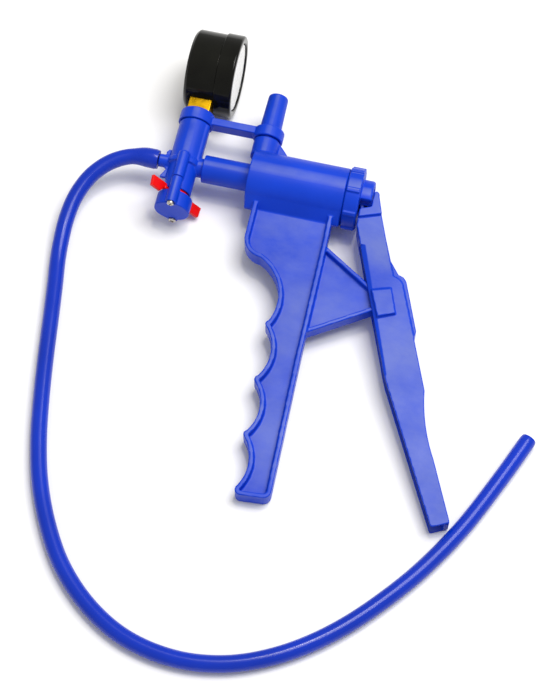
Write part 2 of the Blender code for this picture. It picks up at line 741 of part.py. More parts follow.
def make_manifold(blue):
    axis_foot = upright(0.0)
    tube = turned(
        [
            (MANIFOLD_TOP_Y, 0.0),
            (MANIFOLD_TOP_Y, COLLAR_SPIGOT_R),
            (MANIFOLD_SHOULDER_Y, COLLAR_SPIGOT_R),
            (MANIFOLD_SHOULDER_Y, MANIFOLD_R),
            (1.3, MANIFOLD_R),
            (0.9, MANIFOLD_RING_R),
            (-1.6, MANIFOLD_RING_R),
            (-2.0, MANIFOLD_LOW_R),
            (MANIFOLD_BOTTOM_Y, MANIFOLD_LOW_R),
            (MANIFOLD_BOTTOM_Y, 0.0),
        ],
        "Y",
        axis_foot,
        FINE,
    )
    manifold = add("manifold", tube, blue)
    spigot = turned(
        [
            (MANIFOLD_X, 0.0),
            (MANIFOLD_X, SPIGOT_R),
            (-41.6, SPIGOT_R),
            (-41.6, 3.5),
            (-39.2, 3.5),
            (-39.2, SPIGOT_R),
            (SPIGOT_END_X, SPIGOT_R),
            (SPIGOT_END_X, 0.0),
        ],
    )
    join(manifold, spigot)
    join(manifold, cylinder(NIPPLE_R, NIPPLE_END_X, MANIFOLD_X, "X", segments=SMALL))
    plate = [(-69.7, -2.8), (-67.8, -4.8), (-69.8, -8.5), (-69.8, -9.4)]
    plate += [(-60.0, -9.4), (-60.0, 6.4), (-68.6, 6.4), (-69.7, 5.2)]
    join(manifold, slab(plate, -1.0, 1.0))
    ridge = (MANIFOLD_X + 6.0, 0.0, 3.0)
    join(manifold, cylinder(2.1, 2.0, 22.6, "Y", ridge, SMALL))
    for z in (COLUMN_Z, -COLUMN_Z):
        foot_y = COLUMN_TOP_Y + GAP
        column = turned(
            [(foot_y, 0.0), (foot_y, COLUMN_R), (2.1, COLUMN_R), (2.8, COLUMN_R - 0.7), (2.8, 0.0)],
            "Y",
            upright(z),
            SMALL,
        )
        join(manifold, column)
    cut(manifold, cylinder(STEM_BORE_R, STEM_BORE_END_Y, MANIFOLD_TOP_Y + 3.0, "Y", axis_foot))
    cut(manifold, cylinder(VALVE_CAVITY_R, MANIFOLD_BOTTOM_Y - 3.0, VALVE_ROOF_Y, "Y", axis_foot))
    cut(manifold, cylinder(PASSAGE_R, VALVE_ROOF_Y - 1.0, STEM_BORE_END_Y + 1.0, "Y", axis_foot, SMALL))
    cut(manifold, cylinder(PASSAGE_R - 0.1, NIPPLE_END_X - 3.0, SPIGOT_END_X + 3.0, "X", segments=SMALL))
    for z in (SCREW_Z, -SCREW_Z):
        cut(manifold, cylinder(SCREW_R + 0.2, -13.0, -4.0, "Y", upright(z), TINY))


def make_housing(blue):
    """The valve's lower cup, with two columns that reach up to the manifold's bosses."""
    axis_foot = upright(0.0)
    columns = cylinder(COLUMN_R, HOUSING_BOTTOM_Y + 0.4, COLUMN_TOP_Y, "Y", upright(COLUMN_Z), SMALL)
    lower_column = cylinder(COLUMN_R, HOUSING_BOTTOM_Y + 0.4, COLUMN_TOP_Y, "Y", upright(-COLUMN_Z), SMALL)
    housing = add("valve_housing", merged(columns, lower_column), blue)
    cut(housing, cylinder(MANIFOLD_LOW_R + GAP, HOUSING_RIM_Y - 3.0, COLUMN_TOP_Y + 3.0, "Y", axis_foot, FINE))
    cup = turned(
        [
            (HOUSING_BOTTOM_Y, 0.0),
            (HOUSING_BOTTOM_Y, HOUSING_R - 0.4),
            (HOUSING_BOTTOM_Y + 0.4, HOUSING_R),
            (HOUSING_RIM_Y, HOUSING_R),
            (HOUSING_RIM_Y, 0.0),
        ],
        "Y",
        axis_foot,
        FINE,
    )
    join(housing, cup)
    cut(housing, cylinder(VALVE_CAVITY_R, -25.0, HOUSING_RIM_Y + 2.0, "Y", axis_foot, FINE))
    for z in (SCREW_Z, -SCREW_Z):
        hole = turned(
            [(-30.0, 0.0), (-30.0, 2.1), (-26.4, 2.1), (-26.4, 1.25), (-9.0, 1.25), (-9.0, 0.0)],
            "Y",
            upright(z),
            SMALL,
        )
        cut(housing, hole)


def make_housing_screw(name, z, steel):
    profile = [(-27.9, 0.0), (-27.9, 1.3), (-27.3, 1.8), (-26.7, 1.8)]
    profile += [(-26.7, SCREW_R), (-5.0, SCREW_R), (-5.0, 0.0)]
    screw = add(name, turned(profile, "Y", upright(z), TINY), steel)
    slot = block((MANIFOLD_X - 1.4, -29.0, z - 0.25), (MANIFOLD_X + 1.4, -27.3, z + 0.25))
    cut(screw, slot)
    cross = block((MANIFOLD_X - 0.25, -29.0, z - 1.4), (MANIFOLD_X + 0.25, -27.3, z + 1.4))
    cut(screw, cross)


def make_rotor(red, rubber):
    """The two-winged release valve. It turns about the manifold's axis."""
    axis_foot = upright(0.0)
    plug = turned(
        [(-24.6, 0.0), (-24.6, ROTOR_R), (-12.0, ROTOR_R), (-12.0, 0.0)],
        "Y",
        axis_foot,
    )
    rotor = add("valve_rotor", plug, red, axis_foot)
    for side in (0.0, math.pi):
        turn = Matrix.Rotation(math.radians(ROTOR_REST_DEG) + side, 3, "Y")
        stem = block((5.0, -18.8, -1.3), (8.6, -17.2, 1.3))
        outline = [(7.8, WING_TOP_Y), (WING_REACH, WING_TOP_Y), (WING_REACH - 0.5, WING_FOOT_Y)]
        outline += [(10.9, WING_FOOT_Y), (9.2, -18.4), (7.8, -18.4)]
        wing = slab(outline, -WING_HALF, WING_HALF)
        for piece in (stem, wing):
            bmesh.ops.rotate(piece, verts=piece.verts, cent=(0.0, 0.0, 0.0), matrix=turn)
            bmesh.ops.translate(piece, verts=piece.verts, vec=axis_foot)
            bmesh.ops.recalc_face_normals(piece, faces=piece.faces)
            join(rotor, piece)
    cut(rotor, cylinder(0.8, -18.0, -11.0, "Y", (MANIFOLD_X + 3.5, 0.0, 0.0), TINY))
    washer = turned([(-11.7, 1.8), (-11.7, ROTOR_R - 0.1), (-10.3, ROTOR_R - 0.1), (-10.3, 1.8)], "Y", axis_foot)
    add("rotor_seal", washer, rubber)


def make_spigot_ring(rubber):
    """The O-ring between the manifold's spigot and the neck."""
    profile = []
    for step in range(8):
        angle = 2.0 * math.pi * step / 8
        profile.append((-40.4 + 0.6 * math.cos(angle), 4.4 + 0.6 * math.sin(angle)))
    add("manifold_o_ring", turned(profile), rubber)


def make_strap(blue):
    """The bar with an eye round the manifold's top and an eye round the nozzle's foot."""
    collar = turned(
        [
            (MANIFOLD_SHOULDER_Y + GAP, COLLAR_SPIGOT_R + GAP),
            (MANIFOLD_SHOULDER_Y + GAP, COLLAR_R),
            (29.2, COLLAR_R),
            (29.7, COLLAR_R - 0.5),
            (29.7, COLLAR_SPIGOT_R + GAP),
        ],
        "Y",
        upright(0.0),
        FINE,
    )
    strap = add("tie_strap", collar, blue)
    eye_foot = (EXHAUST_X, 0.0, 0.0)
    eye_r = NOZZLE_FOOT_R + GAP
    eye = turned([(22.3, eye_r), (22.3, STRAP_EYE_R), (28.3, STRAP_EYE_R), (28.3, eye_r)], "Y", eye_foot)
    join(strap, eye)
    bar = block(
        (MANIFOLD_X + COLLAR_R - 0.8, STRAP_LOW_Y, -STRAP_HALF),
        (EXHAUST_X - STRAP_EYE_R + 0.8, STRAP_HIGH_Y, STRAP_HALF),
    )
    join(strap, bar)


# ---- Gauge ----


def make_gauge(black, clear, white):
    centre = (0.0, GAUGE_Y, 0.0)
    case = turned(
        [
            (CASE_BACK_X, 0.0),
            (CASE_BACK_X, CASE_R - 1.6),
            (CASE_BACK_X + 0.5, CASE_R - 0.5),
            (CASE_BACK_X + 1.6, CASE_R),
            (CASE_STEP_X, CASE_R),
            (CASE_STEP_X, CASE_R - 0.6),
            (CASE_FRONT_X, CASE_R - 0.6),
            (CASE_FRONT_X, CASE_INNER_R),
            (CASE_BACK_X + 1.8, CASE_INNER_R),
            (CASE_BACK_X + 1.8, 0.0),
        ],
        "X",
        centre,
        FINE,
    )
    gauge_case = add("gauge_case", case, black)
    half = STEM_HALF + GAP
    hole = block((MANIFOLD_X - half, GAUGE_Y - CASE_R - 3.0, -half), (CASE_STEP_X - 0.1, GAUGE_Y - 12.0, half))
    cut(gauge_case, hole)
    bezel = turned(
        [
            (CASE_STEP_X + GAP, CASE_R - 0.3),
            (CASE_STEP_X + GAP, BEZEL_R - 0.3),
            (CASE_STEP_X + 0.8, BEZEL_R),
            (BEZEL_FRONT_X - 0.9, BEZEL_R),
            (BEZEL_FRONT_X - 0.2, BEZEL_R - 0.4),
            (BEZEL_FRONT_X, BEZEL_R - 1.1),
            (BEZEL_FRONT_X, BEZEL_INNER_R + 0.5),
            (BEZEL_FRONT_X - 0.5, BEZEL_INNER_R),
            (BEZEL_FRONT_X - LENS_DEPTH, BEZEL_INNER_R),
            (BEZEL_FRONT_X - LENS_DEPTH, CASE_R - 0.3),
        ],
        "X",
        centre,
        FINE,
    )
    add("gauge_bezel", bezel, black)
    flange_front_x = BEZEL_FRONT_X - LENS_DEPTH - GAP
    lens = [
        (CASE_FRONT_X + GAP, 0.0),
        (CASE_FRONT_X + GAP, CASE_R - 0.8),
        (flange_front_x, CASE_R - 0.8),
        (flange_front_x, BEZEL_INNER_R - GAP),
        (LENS_FRONT_X, BEZEL_INNER_R - GAP),
        (LENS_FRONT_X, 0.0),
    ]
    add("gauge_lens", turned(lens, "X", centre, FINE), clear)
    dial = turned([(-51.4, 1.4), (-51.4, 18.2), (-50.7, 18.2), (-50.7, 1.4)], "X", centre, FINE)
    add("gauge_dial", dial, white)


def make_gauge_works(brass, black):
    centre = (0.0, GAUGE_Y, 0.0)
    low, high = MANIFOLD_X - STEM_HALF, MANIFOLD_X + STEM_HALF
    stem = add("gauge_stem", block((low, 30.1, -STEM_HALF), (high, GAUGE_Y - 15.3, STEM_HALF)), brass)
    join(stem, block((MANIFOLD_X - 3.5, GAUGE_Y - 16.3, -3.5), (MANIFOLD_X + 3.5, GAUGE_Y - 13.4, 3.5)))
    join(stem, cylinder(STEM_BORE_R - GAP, STEM_BORE_END_Y + 0.6, 31.0, "Y", upright(0.0), SMALL))
    cut(stem, cylinder(1.2, 9.0, 40.0, "Y", upright(0.0), TINY))
    movement = turned([(-59.2, 1.2), (-59.2, 6.0), (-54.6, 6.0), (-54.6, 1.2)], "X", centre, SMALL)
    add("gauge_movement", movement, brass)

    curve = bpy.data.curves.new("bourdon_tube", "CURVE")
    curve.dimensions = "3D"
    curve.bevel_depth = 1.2 * MM
    curve.bevel_resolution = 1
    curve.use_fill_caps = True
    line = curve.splines.new("POLY")
    steps = 20
    line.points.add(steps)
    for step in range(steps + 1):
        angle = math.radians(22.0 + 265.0 * step / steps)
        spot = Vector((-61.6, GAUGE_Y - 12.6 * math.cos(angle), 12.6 * math.sin(angle))) * MM
        line.points[step].co = (*spot, 1.0)
    curve.materials.append(brass)
    tube = bpy.data.objects.new("bourdon_tube", curve)
    tube.parent = bpy.data.objects["pump_frame"]
    bpy.context.scene.collection.objects.link(tube)

    arbor = turned(
        [(-58.6, 0.0), (-58.6, 0.8), (-50.5, 0.8), (-50.5, 2.0), (-49.4, 2.0), (-49.4, 0.0)], "X", centre, SMALL
    )
    pointer = add("gauge_pointer", arbor, black, centre)
    blade = block((-50.3, -4.5, -0.9), (-49.8, 13.5, 0.9))
    for vert in blade.verts:
        if vert.co.y > 0.0:
            vert.co.z *= 0.25
    aim = Matrix.Rotation(math.radians(180.0 - POINTER_REST_DEG), 3, "X")
    bmesh.ops.rotate(blade, verts=blade.verts, cent=(0.0, 0.0, 0.0), matrix=aim)
    bmesh.ops.translate(blade, verts=blade.verts, vec=centre)
    join(pointer, blade)


# ---- Hose ----


def smooth_route(route, count):
    """Evenly spaced points on the smooth curve through the route's own points."""
    dense = []
    for number in range(len(route) - 1):
        before = Vector(route[max(number - 1, 0)])
        start = Vector(route[number])
        end = Vector(route[number + 1])
        after = Vector(route[min(number + 2, len(route) - 1)])
        for step in range(20):
            t = step / 20
            bend = (2.0 * before - 5.0 * start + 4.0 * end - after) * t * t
            twist = (3.0 * start - before - 3.0 * end + after) * t * t * t
            dense.append((2.0 * start + (end - before) * t + bend + twist) / 2.0)
    dense.append(Vector(route[-1]))
    lengths = [0.0]
    for one, two in zip(dense, dense[1:]):
        lengths.append(lengths[-1] + (two - one).length)
    points = []
    place = 0
    for step in range(count):
        wanted = lengths[-1] * step / (count - 1)
        while place < len(dense) - 2 and lengths[place + 1] < wanted:
            place += 1
        share = (wanted - lengths[place]) / (lengths[place + 1] - lengths[place])
        points.append(dense[place].lerp(dense[place + 1], share))
    return points


def make_hose(hose_blue):
    nipple_end = (NIPPLE_END_X - 1.2 * GAP + FRAME_X, FRAME_Y, AXIS_HEIGHT)
    curve = bpy.data.curves.new("vacuum_hose", "CURVE")
    curve.dimensions = "3D"
    curve.bevel_depth = HOSE_R * MM
    curve.bevel_resolution = 3
    curve.use_fill_caps = True
    line = curve.splines.new("POLY")
    line.points.add(HOSE_POINTS - 1)
    for number, spot in enumerate(smooth_route([nipple_end] + HOSE_ROUTE, HOSE_POINTS)):
        line.points[number].co = (*(spot * MM), 1.0)
    curve.materials.append(hose_blue)
    hose = bpy.data.objects.new("vacuum_hose", curve)
    bpy.context.scene.collection.objects.link(hose)


def main():
    clear_scene()
    make_frame()
    blue = make_material("blue_plastic", BLUE, 0.42)
    hose_blue = make_material("hose_blue", HOSE_BLUE, 0.2)
    red = make_material("red_plastic", RED, 0.35)
    black = make_material("black_gloss", BLACK, 0.08)
    rubber = make_material("black_rubber", RUBBER_BLACK, 0.7)
    white = make_material("dial_white", WHITE, 0.5)
    clear = make_material("lens_clear", CLEAR, 0.05)
    brass = make_material("brass", BRASS, 0.3, 1.0)
    steel = make_material("steel", STEEL, 0.35, 1.0)

    make_body(blue)
    make_end_cap(blue)
    make_exhaust(blue, rubber)
    make_inlet_valve(rubber)
    make_piston(blue, rubber, blue, steel)
    make_spring(steel)
    make_lever(blue)
    make_manifold(blue)
    make_spigot_ring(rubber)
    make_housing(blue)
    make_housing_screw("housing_screw_upper", SCREW_Z, steel)
    make_housing_screw("housing_screw_lower", -SCREW_Z, steel)
    make_rotor(red, rubber)
    make_strap(blue)
    make_gauge(black, clear, white)
    make_gauge_works(brass, black)
    make_hose(hose_blue)


main()
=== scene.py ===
"""Looks of the hand vacuum pump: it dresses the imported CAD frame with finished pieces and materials.

Shapes are given in millimetres in the pump's own frame, where the barrel's axis is X, +Y points to the
gauge and Z is square to both. TO_WORLD lays that frame on the table as the CAD does.
"""

import math

import bmesh
import bpy
from mathutils import Matrix, Vector


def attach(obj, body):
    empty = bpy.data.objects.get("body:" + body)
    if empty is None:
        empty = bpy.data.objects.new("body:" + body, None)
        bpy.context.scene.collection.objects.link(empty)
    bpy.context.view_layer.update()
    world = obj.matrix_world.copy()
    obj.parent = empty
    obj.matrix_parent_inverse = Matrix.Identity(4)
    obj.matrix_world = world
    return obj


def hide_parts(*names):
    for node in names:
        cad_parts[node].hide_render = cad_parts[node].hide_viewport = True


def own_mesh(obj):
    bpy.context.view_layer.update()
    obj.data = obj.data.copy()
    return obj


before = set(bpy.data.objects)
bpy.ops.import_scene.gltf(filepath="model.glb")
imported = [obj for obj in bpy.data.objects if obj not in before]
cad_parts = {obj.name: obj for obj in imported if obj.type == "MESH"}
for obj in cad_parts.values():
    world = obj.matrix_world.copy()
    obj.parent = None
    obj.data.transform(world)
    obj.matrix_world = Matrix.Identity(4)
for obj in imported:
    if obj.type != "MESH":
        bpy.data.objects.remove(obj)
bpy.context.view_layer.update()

MM = 0.001

# How the pump lies, as in the CAD
BEZEL_R = 21.3
GAUGE_Y = 55.8
GRIP_HALF = 4.8
GRIP_FOOT_Y = -166.5
REACH = math.hypot(GAUGE_Y - GRIP_FOOT_Y, GRIP_HALF)
TILT = math.asin(BEZEL_R / REACH) - math.atan2(GRIP_HALF, GAUGE_Y - GRIP_FOOT_Y)
AXIS_HEIGHT = -GRIP_FOOT_Y * math.sin(TILT) + GRIP_HALF * math.cos(TILT)
FRAME_SHIFT = Vector((-16.65, 44.73, AXIS_HEIGHT)) * MM
TO_WORLD = Matrix.Translation(FRAME_SHIFT) @ Matrix.Rotation(TILT, 4, "X")

# Camera, in the pump's frame
CAMERA_AZIMUTH = math.radians(12.8)
CAMERA_ELEVATION = math.radians(66.0)
CAMERA_DISTANCE = 963.0
CAMERA_TARGET = Vector((7.45, -89.14, 0.0))
CAMERA_LENS = 102.86
SENSOR_HEIGHT = 36.0

# Studio, in metres and watts
ROOM_STRENGTH = 0.5
KEY_PLACE = (0.38, 0.22, 1.3)
KEY_TARGET = (0.0, -0.02, 0.0)
KEY_SIDE = 0.8
KEY_POWER = 15.0
SPARK_PLACE = (0.05, 0.16, 1.3)
SPARK_TARGET = (0.0, 0.0, 0.0)
SPARK_SIDE = 0.1
SPARK_POWER = 1.8
WHITE = (1.0, 1.0, 1.0)
WARM_WHITE = (1.0, 0.9, 0.72)
TABLE_HALF = 4.0
PAPER = (0.95, 0.95, 0.95, 1.0)
PAPER_ROUGHNESS = 0.75

# Colours, in linear light. Each plastic's second colour is a film on up-facing flat faces: part dust and
# wear, part painted sheen of the overhead light
BLUE = (0.002, 0.046, 0.57)
BLUE_DUST_AND_SHEEN = (0.26, 0.31, 0.5, 1.0)
RED = (0.86, 0.002, 0.0)
RED_DUST_AND_SHEEN = (0.9, 0.02, 0.01, 1.0)
HOSE_BLUE = (0.0015, 0.03, 0.46)
STEEL = (0.62, 0.58, 0.5)
BRASS = (0.8, 0.45, 0.01)
GLOSS_DARK = (0.004, 0.004, 0.003, 1.0)
GLOSS_PALE = (0.008, 0.008, 0.006, 1.0)
RUBBER_DARK = (0.012, 0.012, 0.013, 1.0)
RUBBER_PALE = (0.03, 0.03, 0.032, 1.0)
DIAL_DARK = (0.94, 0.95, 0.95, 1.0)
DIAL_PALE = (0.98, 0.98, 0.97, 1.0)
LENS_TINT = (0.98, 1.0, 1.0, 1.0)

# Surface detail of the plastics: roughness, then heights in metres
SATIN = 0.4
GRAIN_HEIGHT = 0.00005
FLOW_HEIGHT = 0.00018
SCUFF_HEIGHT = 0.00002

# Runs of marks: how tightly the noise is packed along each axis, then its turn in radians
# The first run spreads the film of dust, wear and painted sheen on flat faces
DUST_AND_SHEEN_RUN = ((1.0, 1.5, 1.0), (0.0, 0.0, 0.4))
SCUFF_RUN = ((1.0, 9.0, 3.0), (0.3, 0.2, 0.9))
TOOL_RUN = ((1.0, 14.0, 14.0), (0.0, 0.0, 0.5))

# Shared sizes
GAP = 0.3
BARREL_R = 14.3
THREAD_R = 13.4
BORE_R = 12.0
ROD_R = 5.7
PIVOT_X = 54.2
PIVOT_Y = -55.0
ROD_PIN_X = 34.5
ARM_ANGLE = math.atan2(PIVOT_X - ROD_PIN_X, -PIVOT_Y)
PIVOT_R = 2.0
EXHAUST_X = -21.8
MANIFOLD_X = -59.5
MANIFOLD_R = 7.9
MANIFOLD_LOW_R = 7.2
HOUSING_R = 8.9
VALVE_CAVITY_R = 6.2
COLUMN_R = 2.9
COLUMN_Z = 8.3
COLUMN_TOP_Y = -12.3
SCREW_Z = 8.9
SPRING_R = 9.1
SPRING_WIRE_R = 0.65
SPRING_TURNS = 8
SPRING_FIRST_X = -12.05
SPRING_LAST_X = 27.95
LUG_COUNT = 8
LUG_PHASE = 0.28
WING_TURN = math.radians(49.0)
WING_HALF = 0.95
WEB_HALF = 1.0
BRACKET_HALF = 3.7
FINGER_HOLLOWS = [
    ((2.5, -60.0), (0.2, -77.8), 28),
    ((6.0, -91.0), (1.5, -107.2), 20),
    ((7.2, -120.0), (2.8, -135.6), 20),
]

# Gauge's face
SCALE_START = 135.0
SCALE_SWEEP = 270.0
DIVISIONS = 30
LONG_EVERY = 5
TICK_OUTER_R = 16.6
NUMBER_R = 10.6
NUMBER_SIZE = 3.0
NUMBER_X = -50.67

# Hose: the route of the CAD's cord, in millimetres of the world's frame.
# STRETCH is what the nipple adds to its radius for STRETCH_LENGTH, fading over STRETCH_FADE
HOSE_R = 4.0
HOSE_BORE_R = 2.5
HOSE_START_X = -72.76
HOSE_SPACING = 1.5
HOSE_SIDES = 36
HOSE_END_ROUND = 0.3
STRETCH = 1.0
STRETCH_LENGTH = 5.0
STRETCH_FADE = 9.0
HOSE_ROUTE = [
    (-98.2, 44.6, 17.2),
    (-105.9, 42.7, 16.8),
    (-113.2, 38.3, 15.9),
    (-119.2, 32.0, 14.5),
    (-123.2, 25.1, 12.7),
    (-126.2, 16.0, 10.3),
    (-127.4, 5.4, 7.7),
    (-127.1, -5.5, 5.6),
    (-125.9, -16.5, 4.4),
    (-123.4, -30.5, 4.1),
    (-120.2, -49.5, 4.1),
    (-116.7, -71.0, 4.1),
    (-112.7, -92.5, 4.1),
    (-108.1, -113.0, 4.1),
    (-102.0, -132.7, 4.1),
    (-93.4, -151.7, 4.1),
    (-81.9, -170.1, 4.1),
    (-67.7, -184.9, 4.1),
    (-51.7, -195.7, 4.1),
    (-35.3, -201.8, 4.1),
    (-16.6, -204.0, 4.1),
    (1.8, -201.7, 4.1),
    (18.4, -195.7, 4.1),
    (34.8, -186.1, 4.1),
    (50.8, -172.9, 4.1),
    (66.1, -156.3, 4.1),
    (81.1, -136.5, 4.1),
    (95.6, -111.9, 4.1),
    (108.3, -84.0, 4.1),
    (118.1, -60.1, 4.1),
]


# ---- Camera, lights and stage ----


def make_camera():
    """The photograph's camera, placed and turned in the pump's frame."""
    across = Vector((math.cos(CAMERA_AZIMUTH), math.sin(CAMERA_AZIMUTH), 0.0))
    back = Vector(
        (
            math.sin(CAMERA_AZIMUTH) * math.cos(CAMERA_ELEVATION),
            -math.cos(CAMERA_AZIMUTH) * math.cos(CAMERA_ELEVATION),
            math.sin(CAMERA_ELEVATION),
        )
    )
    up = back.cross(across)
    place = (CAMERA_TARGET + back * CAMERA_DISTANCE) * MM
    basis = Matrix((across, up, back)).transposed().to_4x4()
    data = bpy.data.cameras.new("camera")
    data.sensor_fit = "VERTICAL"
    data.sensor_height = SENSOR_HEIGHT
    data.lens = CAMERA_LENS
    data.clip_start = 0.01
    camera = bpy.data.objects.new("camera", data)
    bpy.context.scene.collection.objects.link(camera)
    camera.matrix_world = TO_WORLD @ Matrix.Translation(place) @ basis
    bpy.context.scene.camera = camera


def make_light(name, place, target, side, power, colour=WHITE):
    """A square light at one place, aimed at another."""
    data = bpy.data.lights.new(name, "AREA")
    data.shape = "RECTANGLE"
    data.size = side
    data.size_y = side
    data.energy = power
    data.color = colour
    lamp = bpy.data.objects.new(name, data)
    lamp.location = place
    aim = Vector(target) - Vector(place)
    lamp.rotation_euler = aim.to_track_quat("-Z", "Y").to_euler()
    bpy.context.scene.collection.objects.link(lamp)


def make_studio():
    """A white table under one large soft light overhead and a small warm one, in a dim white room."""
    world = bpy.data.worlds.new("studio")
    world.use_nodes = True
    background = world.node_tree.nodes["Background"]
    background.inputs["Color"].default_value = (*WHITE, 1.0)
    background.inputs["Strength"].default_value = ROOM_STRENGTH
    bpy.context.scene.world = world
    bpy.context.scene.view_settings.view_transform = "Standard"
    make_light("key", KEY_PLACE, KEY_TARGET, KEY_SIDE, KEY_POWER)
    make_light("spark", SPARK_PLACE, SPARK_TARGET, SPARK_SIDE, SPARK_POWER, WARM_WHITE)
    shape = bmesh.new()
    bmesh.ops.create_grid(shape, x_segments=1, y_segments=1, size=TABLE_HALF)
    floor = new_object("floor", shape)
    paper = bpy.data.materials.new("white_paper")
    paper.use_nodes = True
    shader = paper.node_tree.nodes["Principled BSDF"]
    shader.inputs["Base Color"].default_value = PAPER
    shader.inputs["Roughness"].default_value = PAPER_ROUGHNESS
    floor.data.materials.append(paper)


# ---- Materials ----


class Nodes:
    """Adds nodes to a new material and links them."""

    def __init__(self, name):
        self.material = bpy.data.materials.new(name)
        self.material.use_nodes = True
        self.tree = self.material.node_tree
        self.shader = self.tree.nodes["Principled BSDF"]
        coordinates = self.tree.nodes.new("ShaderNodeTexCoord")
        self.place = coordinates.outputs["Object"]
        self.normal = coordinates.outputs["Normal"]

    def link(self, source, target):
        self.tree.links.new(source, target)

    def noise(self, scale, detail=3.0, stretch=None, roughness=0.5):
        """Noise over the object's own coordinates, in features per metre. A stretch is a run of marks."""
        node = self.tree.nodes.new("ShaderNodeTexNoise")
        node.inputs["Scale"].default_value = scale
        node.inputs["Detail"].default_value = detail
        node.inputs["Roughness"].default_value = roughness
        source = self.place
        if stretch:
            mapping = self.tree.nodes.new("ShaderNodeMapping")
            mapping.inputs["Scale"].default_value = stretch[0]
            mapping.inputs["Rotation"].default_value = stretch[1]
            self.link(source, mapping.inputs["Vector"])
            source = mapping.outputs["Vector"]
        self.link(source, node.inputs["Vector"])
        return node.outputs["Fac"]

    def ramp(self, source, dark, pale, low=0.3, high=0.7):
        """A colour that is dark where the source is low and pale where it is high."""
        node = self.tree.nodes.new("ShaderNodeValToRGB")
        first, last = node.color_ramp.elements
        first.position = low
        first.color = dark
        last.position = high
        last.color = pale
        self.link(source, node.inputs["Fac"])
        return node.outputs["Color"]

    def blend(self, share, one, two):
        """The first colour, from a socket, blended into the second, a constant, by a share."""
        node = self.tree.nodes.new("ShaderNodeMix")
        node.data_type = "RGBA"
        sockets = [socket for socket in node.inputs if socket.type == "RGBA"]
        sockets[1].default_value = two
        self.link(one, sockets[0])
        self.link(share, node.inputs["Factor"])
        return [socket for socket in node.outputs if socket.type == "RGBA"][0]

    def flatness(self):
        """One on faces square to the pump's own up direction, fading to nothing as they turn away: the
        faces that get the dusty film and the painted sheen of the overhead light.
        """
        square = self.tree.nodes.new("ShaderNodeVectorMath")
        square.operation = "DOT_PRODUCT"
        square.inputs[1].default_value = (0.0, -math.sin(TILT), math.cos(TILT))
        self.link(self.normal, square.inputs[0])
        return self.span(square.outputs["Value"], 0.0, 1.0, from_low=0.97, from_high=0.998)

    def times(self, one, two):
        """The product of two values."""
        node = self.tree.nodes.new("ShaderNodeMath")
        node.operation = "MULTIPLY"
        self.link(one, node.inputs[0])
        self.link(two, node.inputs[1])
        return node.outputs["Value"]

    def span(self, source, low, high, from_low=0.3, from_high=0.7):
        """A value spread from one range to another."""
        node = self.tree.nodes.new("ShaderNodeMapRange")
        node.inputs["From Min"].default_value = from_low
        node.inputs["From Max"].default_value = from_high
        node.inputs["To Min"].default_value = low
        node.inputs["To Max"].default_value = high
        self.link(source, node.inputs["Value"])
        return node.outputs["Result"]

    def bump(self, height, distance, strength, before=None):
        """A normal bumped by a height, on top of an earlier bump if there is one."""
        node = self.tree.nodes.new("ShaderNodeBump")
        node.inputs["Distance"].default_value = distance
        node.inputs["Strength"].default_value = strength
        self.link(height, node.inputs["Height"])
        if before:
            self.link(before, node.inputs["Normal"])
        return node.outputs["Normal"]

    def set(self, **values):
        """Sets constants on the shader's own sockets."""
        for name, value in values.items():
            self.shader.inputs[name.replace("_", " ")].default_value = value

    def feed(self, name, source):
        self.link(source, self.shader.inputs[name])


def shade(colour, factor):
    """A colour made lighter or darker."""
    return (*[min(channel * factor, 1.0) for channel in colour], 1.0)


def moulded(name, colour, dust_and_sheen):
    """Satin moulded plastic: fine grain, soft flow marks, faint scuffs, and a film on up-facing flat
    faces that is part dust and wear, part painted sheen of the overhead light.
    """
    made = Nodes(name)
    cloud = made.noise(38.0, detail=4.0)
    clean = made.ramp(cloud, shade(colour, 0.9), shade(colour, 1.1), high=0.72)
    # The film on up-facing flat faces: part dust and wear, part painted sheen of the overhead light
    dust_sheen_noise = made.noise(22.0, detail=6.0, stretch=DUST_AND_SHEEN_RUN, roughness=0.62)
    dust_sheen_share = made.span(dust_sheen_noise, 0.06, 0.38, from_low=0.34, from_high=0.68)
    made.feed("Base Color", made.blend(made.times(made.flatness(), dust_sheen_share), clean, dust_and_sheen))
    made.feed("Roughness", made.span(made.noise(90.0, detail=5.0), SATIN - 0.05, SATIN + 0.07))
    fine = made.bump(made.noise(2600.0, detail=2.0), GRAIN_HEIGHT, strength=0.7)
    flow = made.bump(made.noise(120.0), FLOW_HEIGHT, strength=0.25, before=fine)
    streak = made.noise(70.0, detail=6.0, stretch=SCUFF_RUN, roughness=0.7)
    scuffs = made.span(streak, 0.0, 1.0, from_low=0.56, from_high=0.66)
    made.feed("Normal", made.bump(scuffs, SCUFF_HEIGHT, strength=0.6, before=flow))
    made.set(IOR=1.5, Specular_IOR_Level=0.24)
    return made.material


def hose_vinyl():
    """Glossy soft vinyl with a faint long waviness from extrusion."""
    made = Nodes("hose_vinyl")
    made.feed("Base Color", made.ramp(made.noise(25.0), shade(HOSE_BLUE, 0.88), shade(HOSE_BLUE, 1.12)))
    made.feed("Roughness", made.span(made.noise(60.0), 0.2, 0.3))
    made.feed("Normal", made.bump(made.noise(30.0, detail=1.0), 0.00006, strength=0.2))
    made.set(IOR=1.45, Specular_IOR_Level=0.3, Coat_Weight=0.15, Coat_Roughness=0.12)
    return made.material


def gloss_black():
    """Glossy black paint or plastic with a very fine orange peel."""
    made = Nodes("gauge_black")
    made.feed("Base Color", made.ramp(made.noise(60.0), GLOSS_DARK, GLOSS_PALE))
    made.feed("Roughness", made.span(made.noise(180.0, detail=4.0), 0.07, 0.14))
    made.feed("Normal", made.bump(made.noise(420.0, detail=2.0), 0.00003, strength=0.3))
    made.set(IOR=1.45, Specular_IOR_Level=0.2)
    return made.material


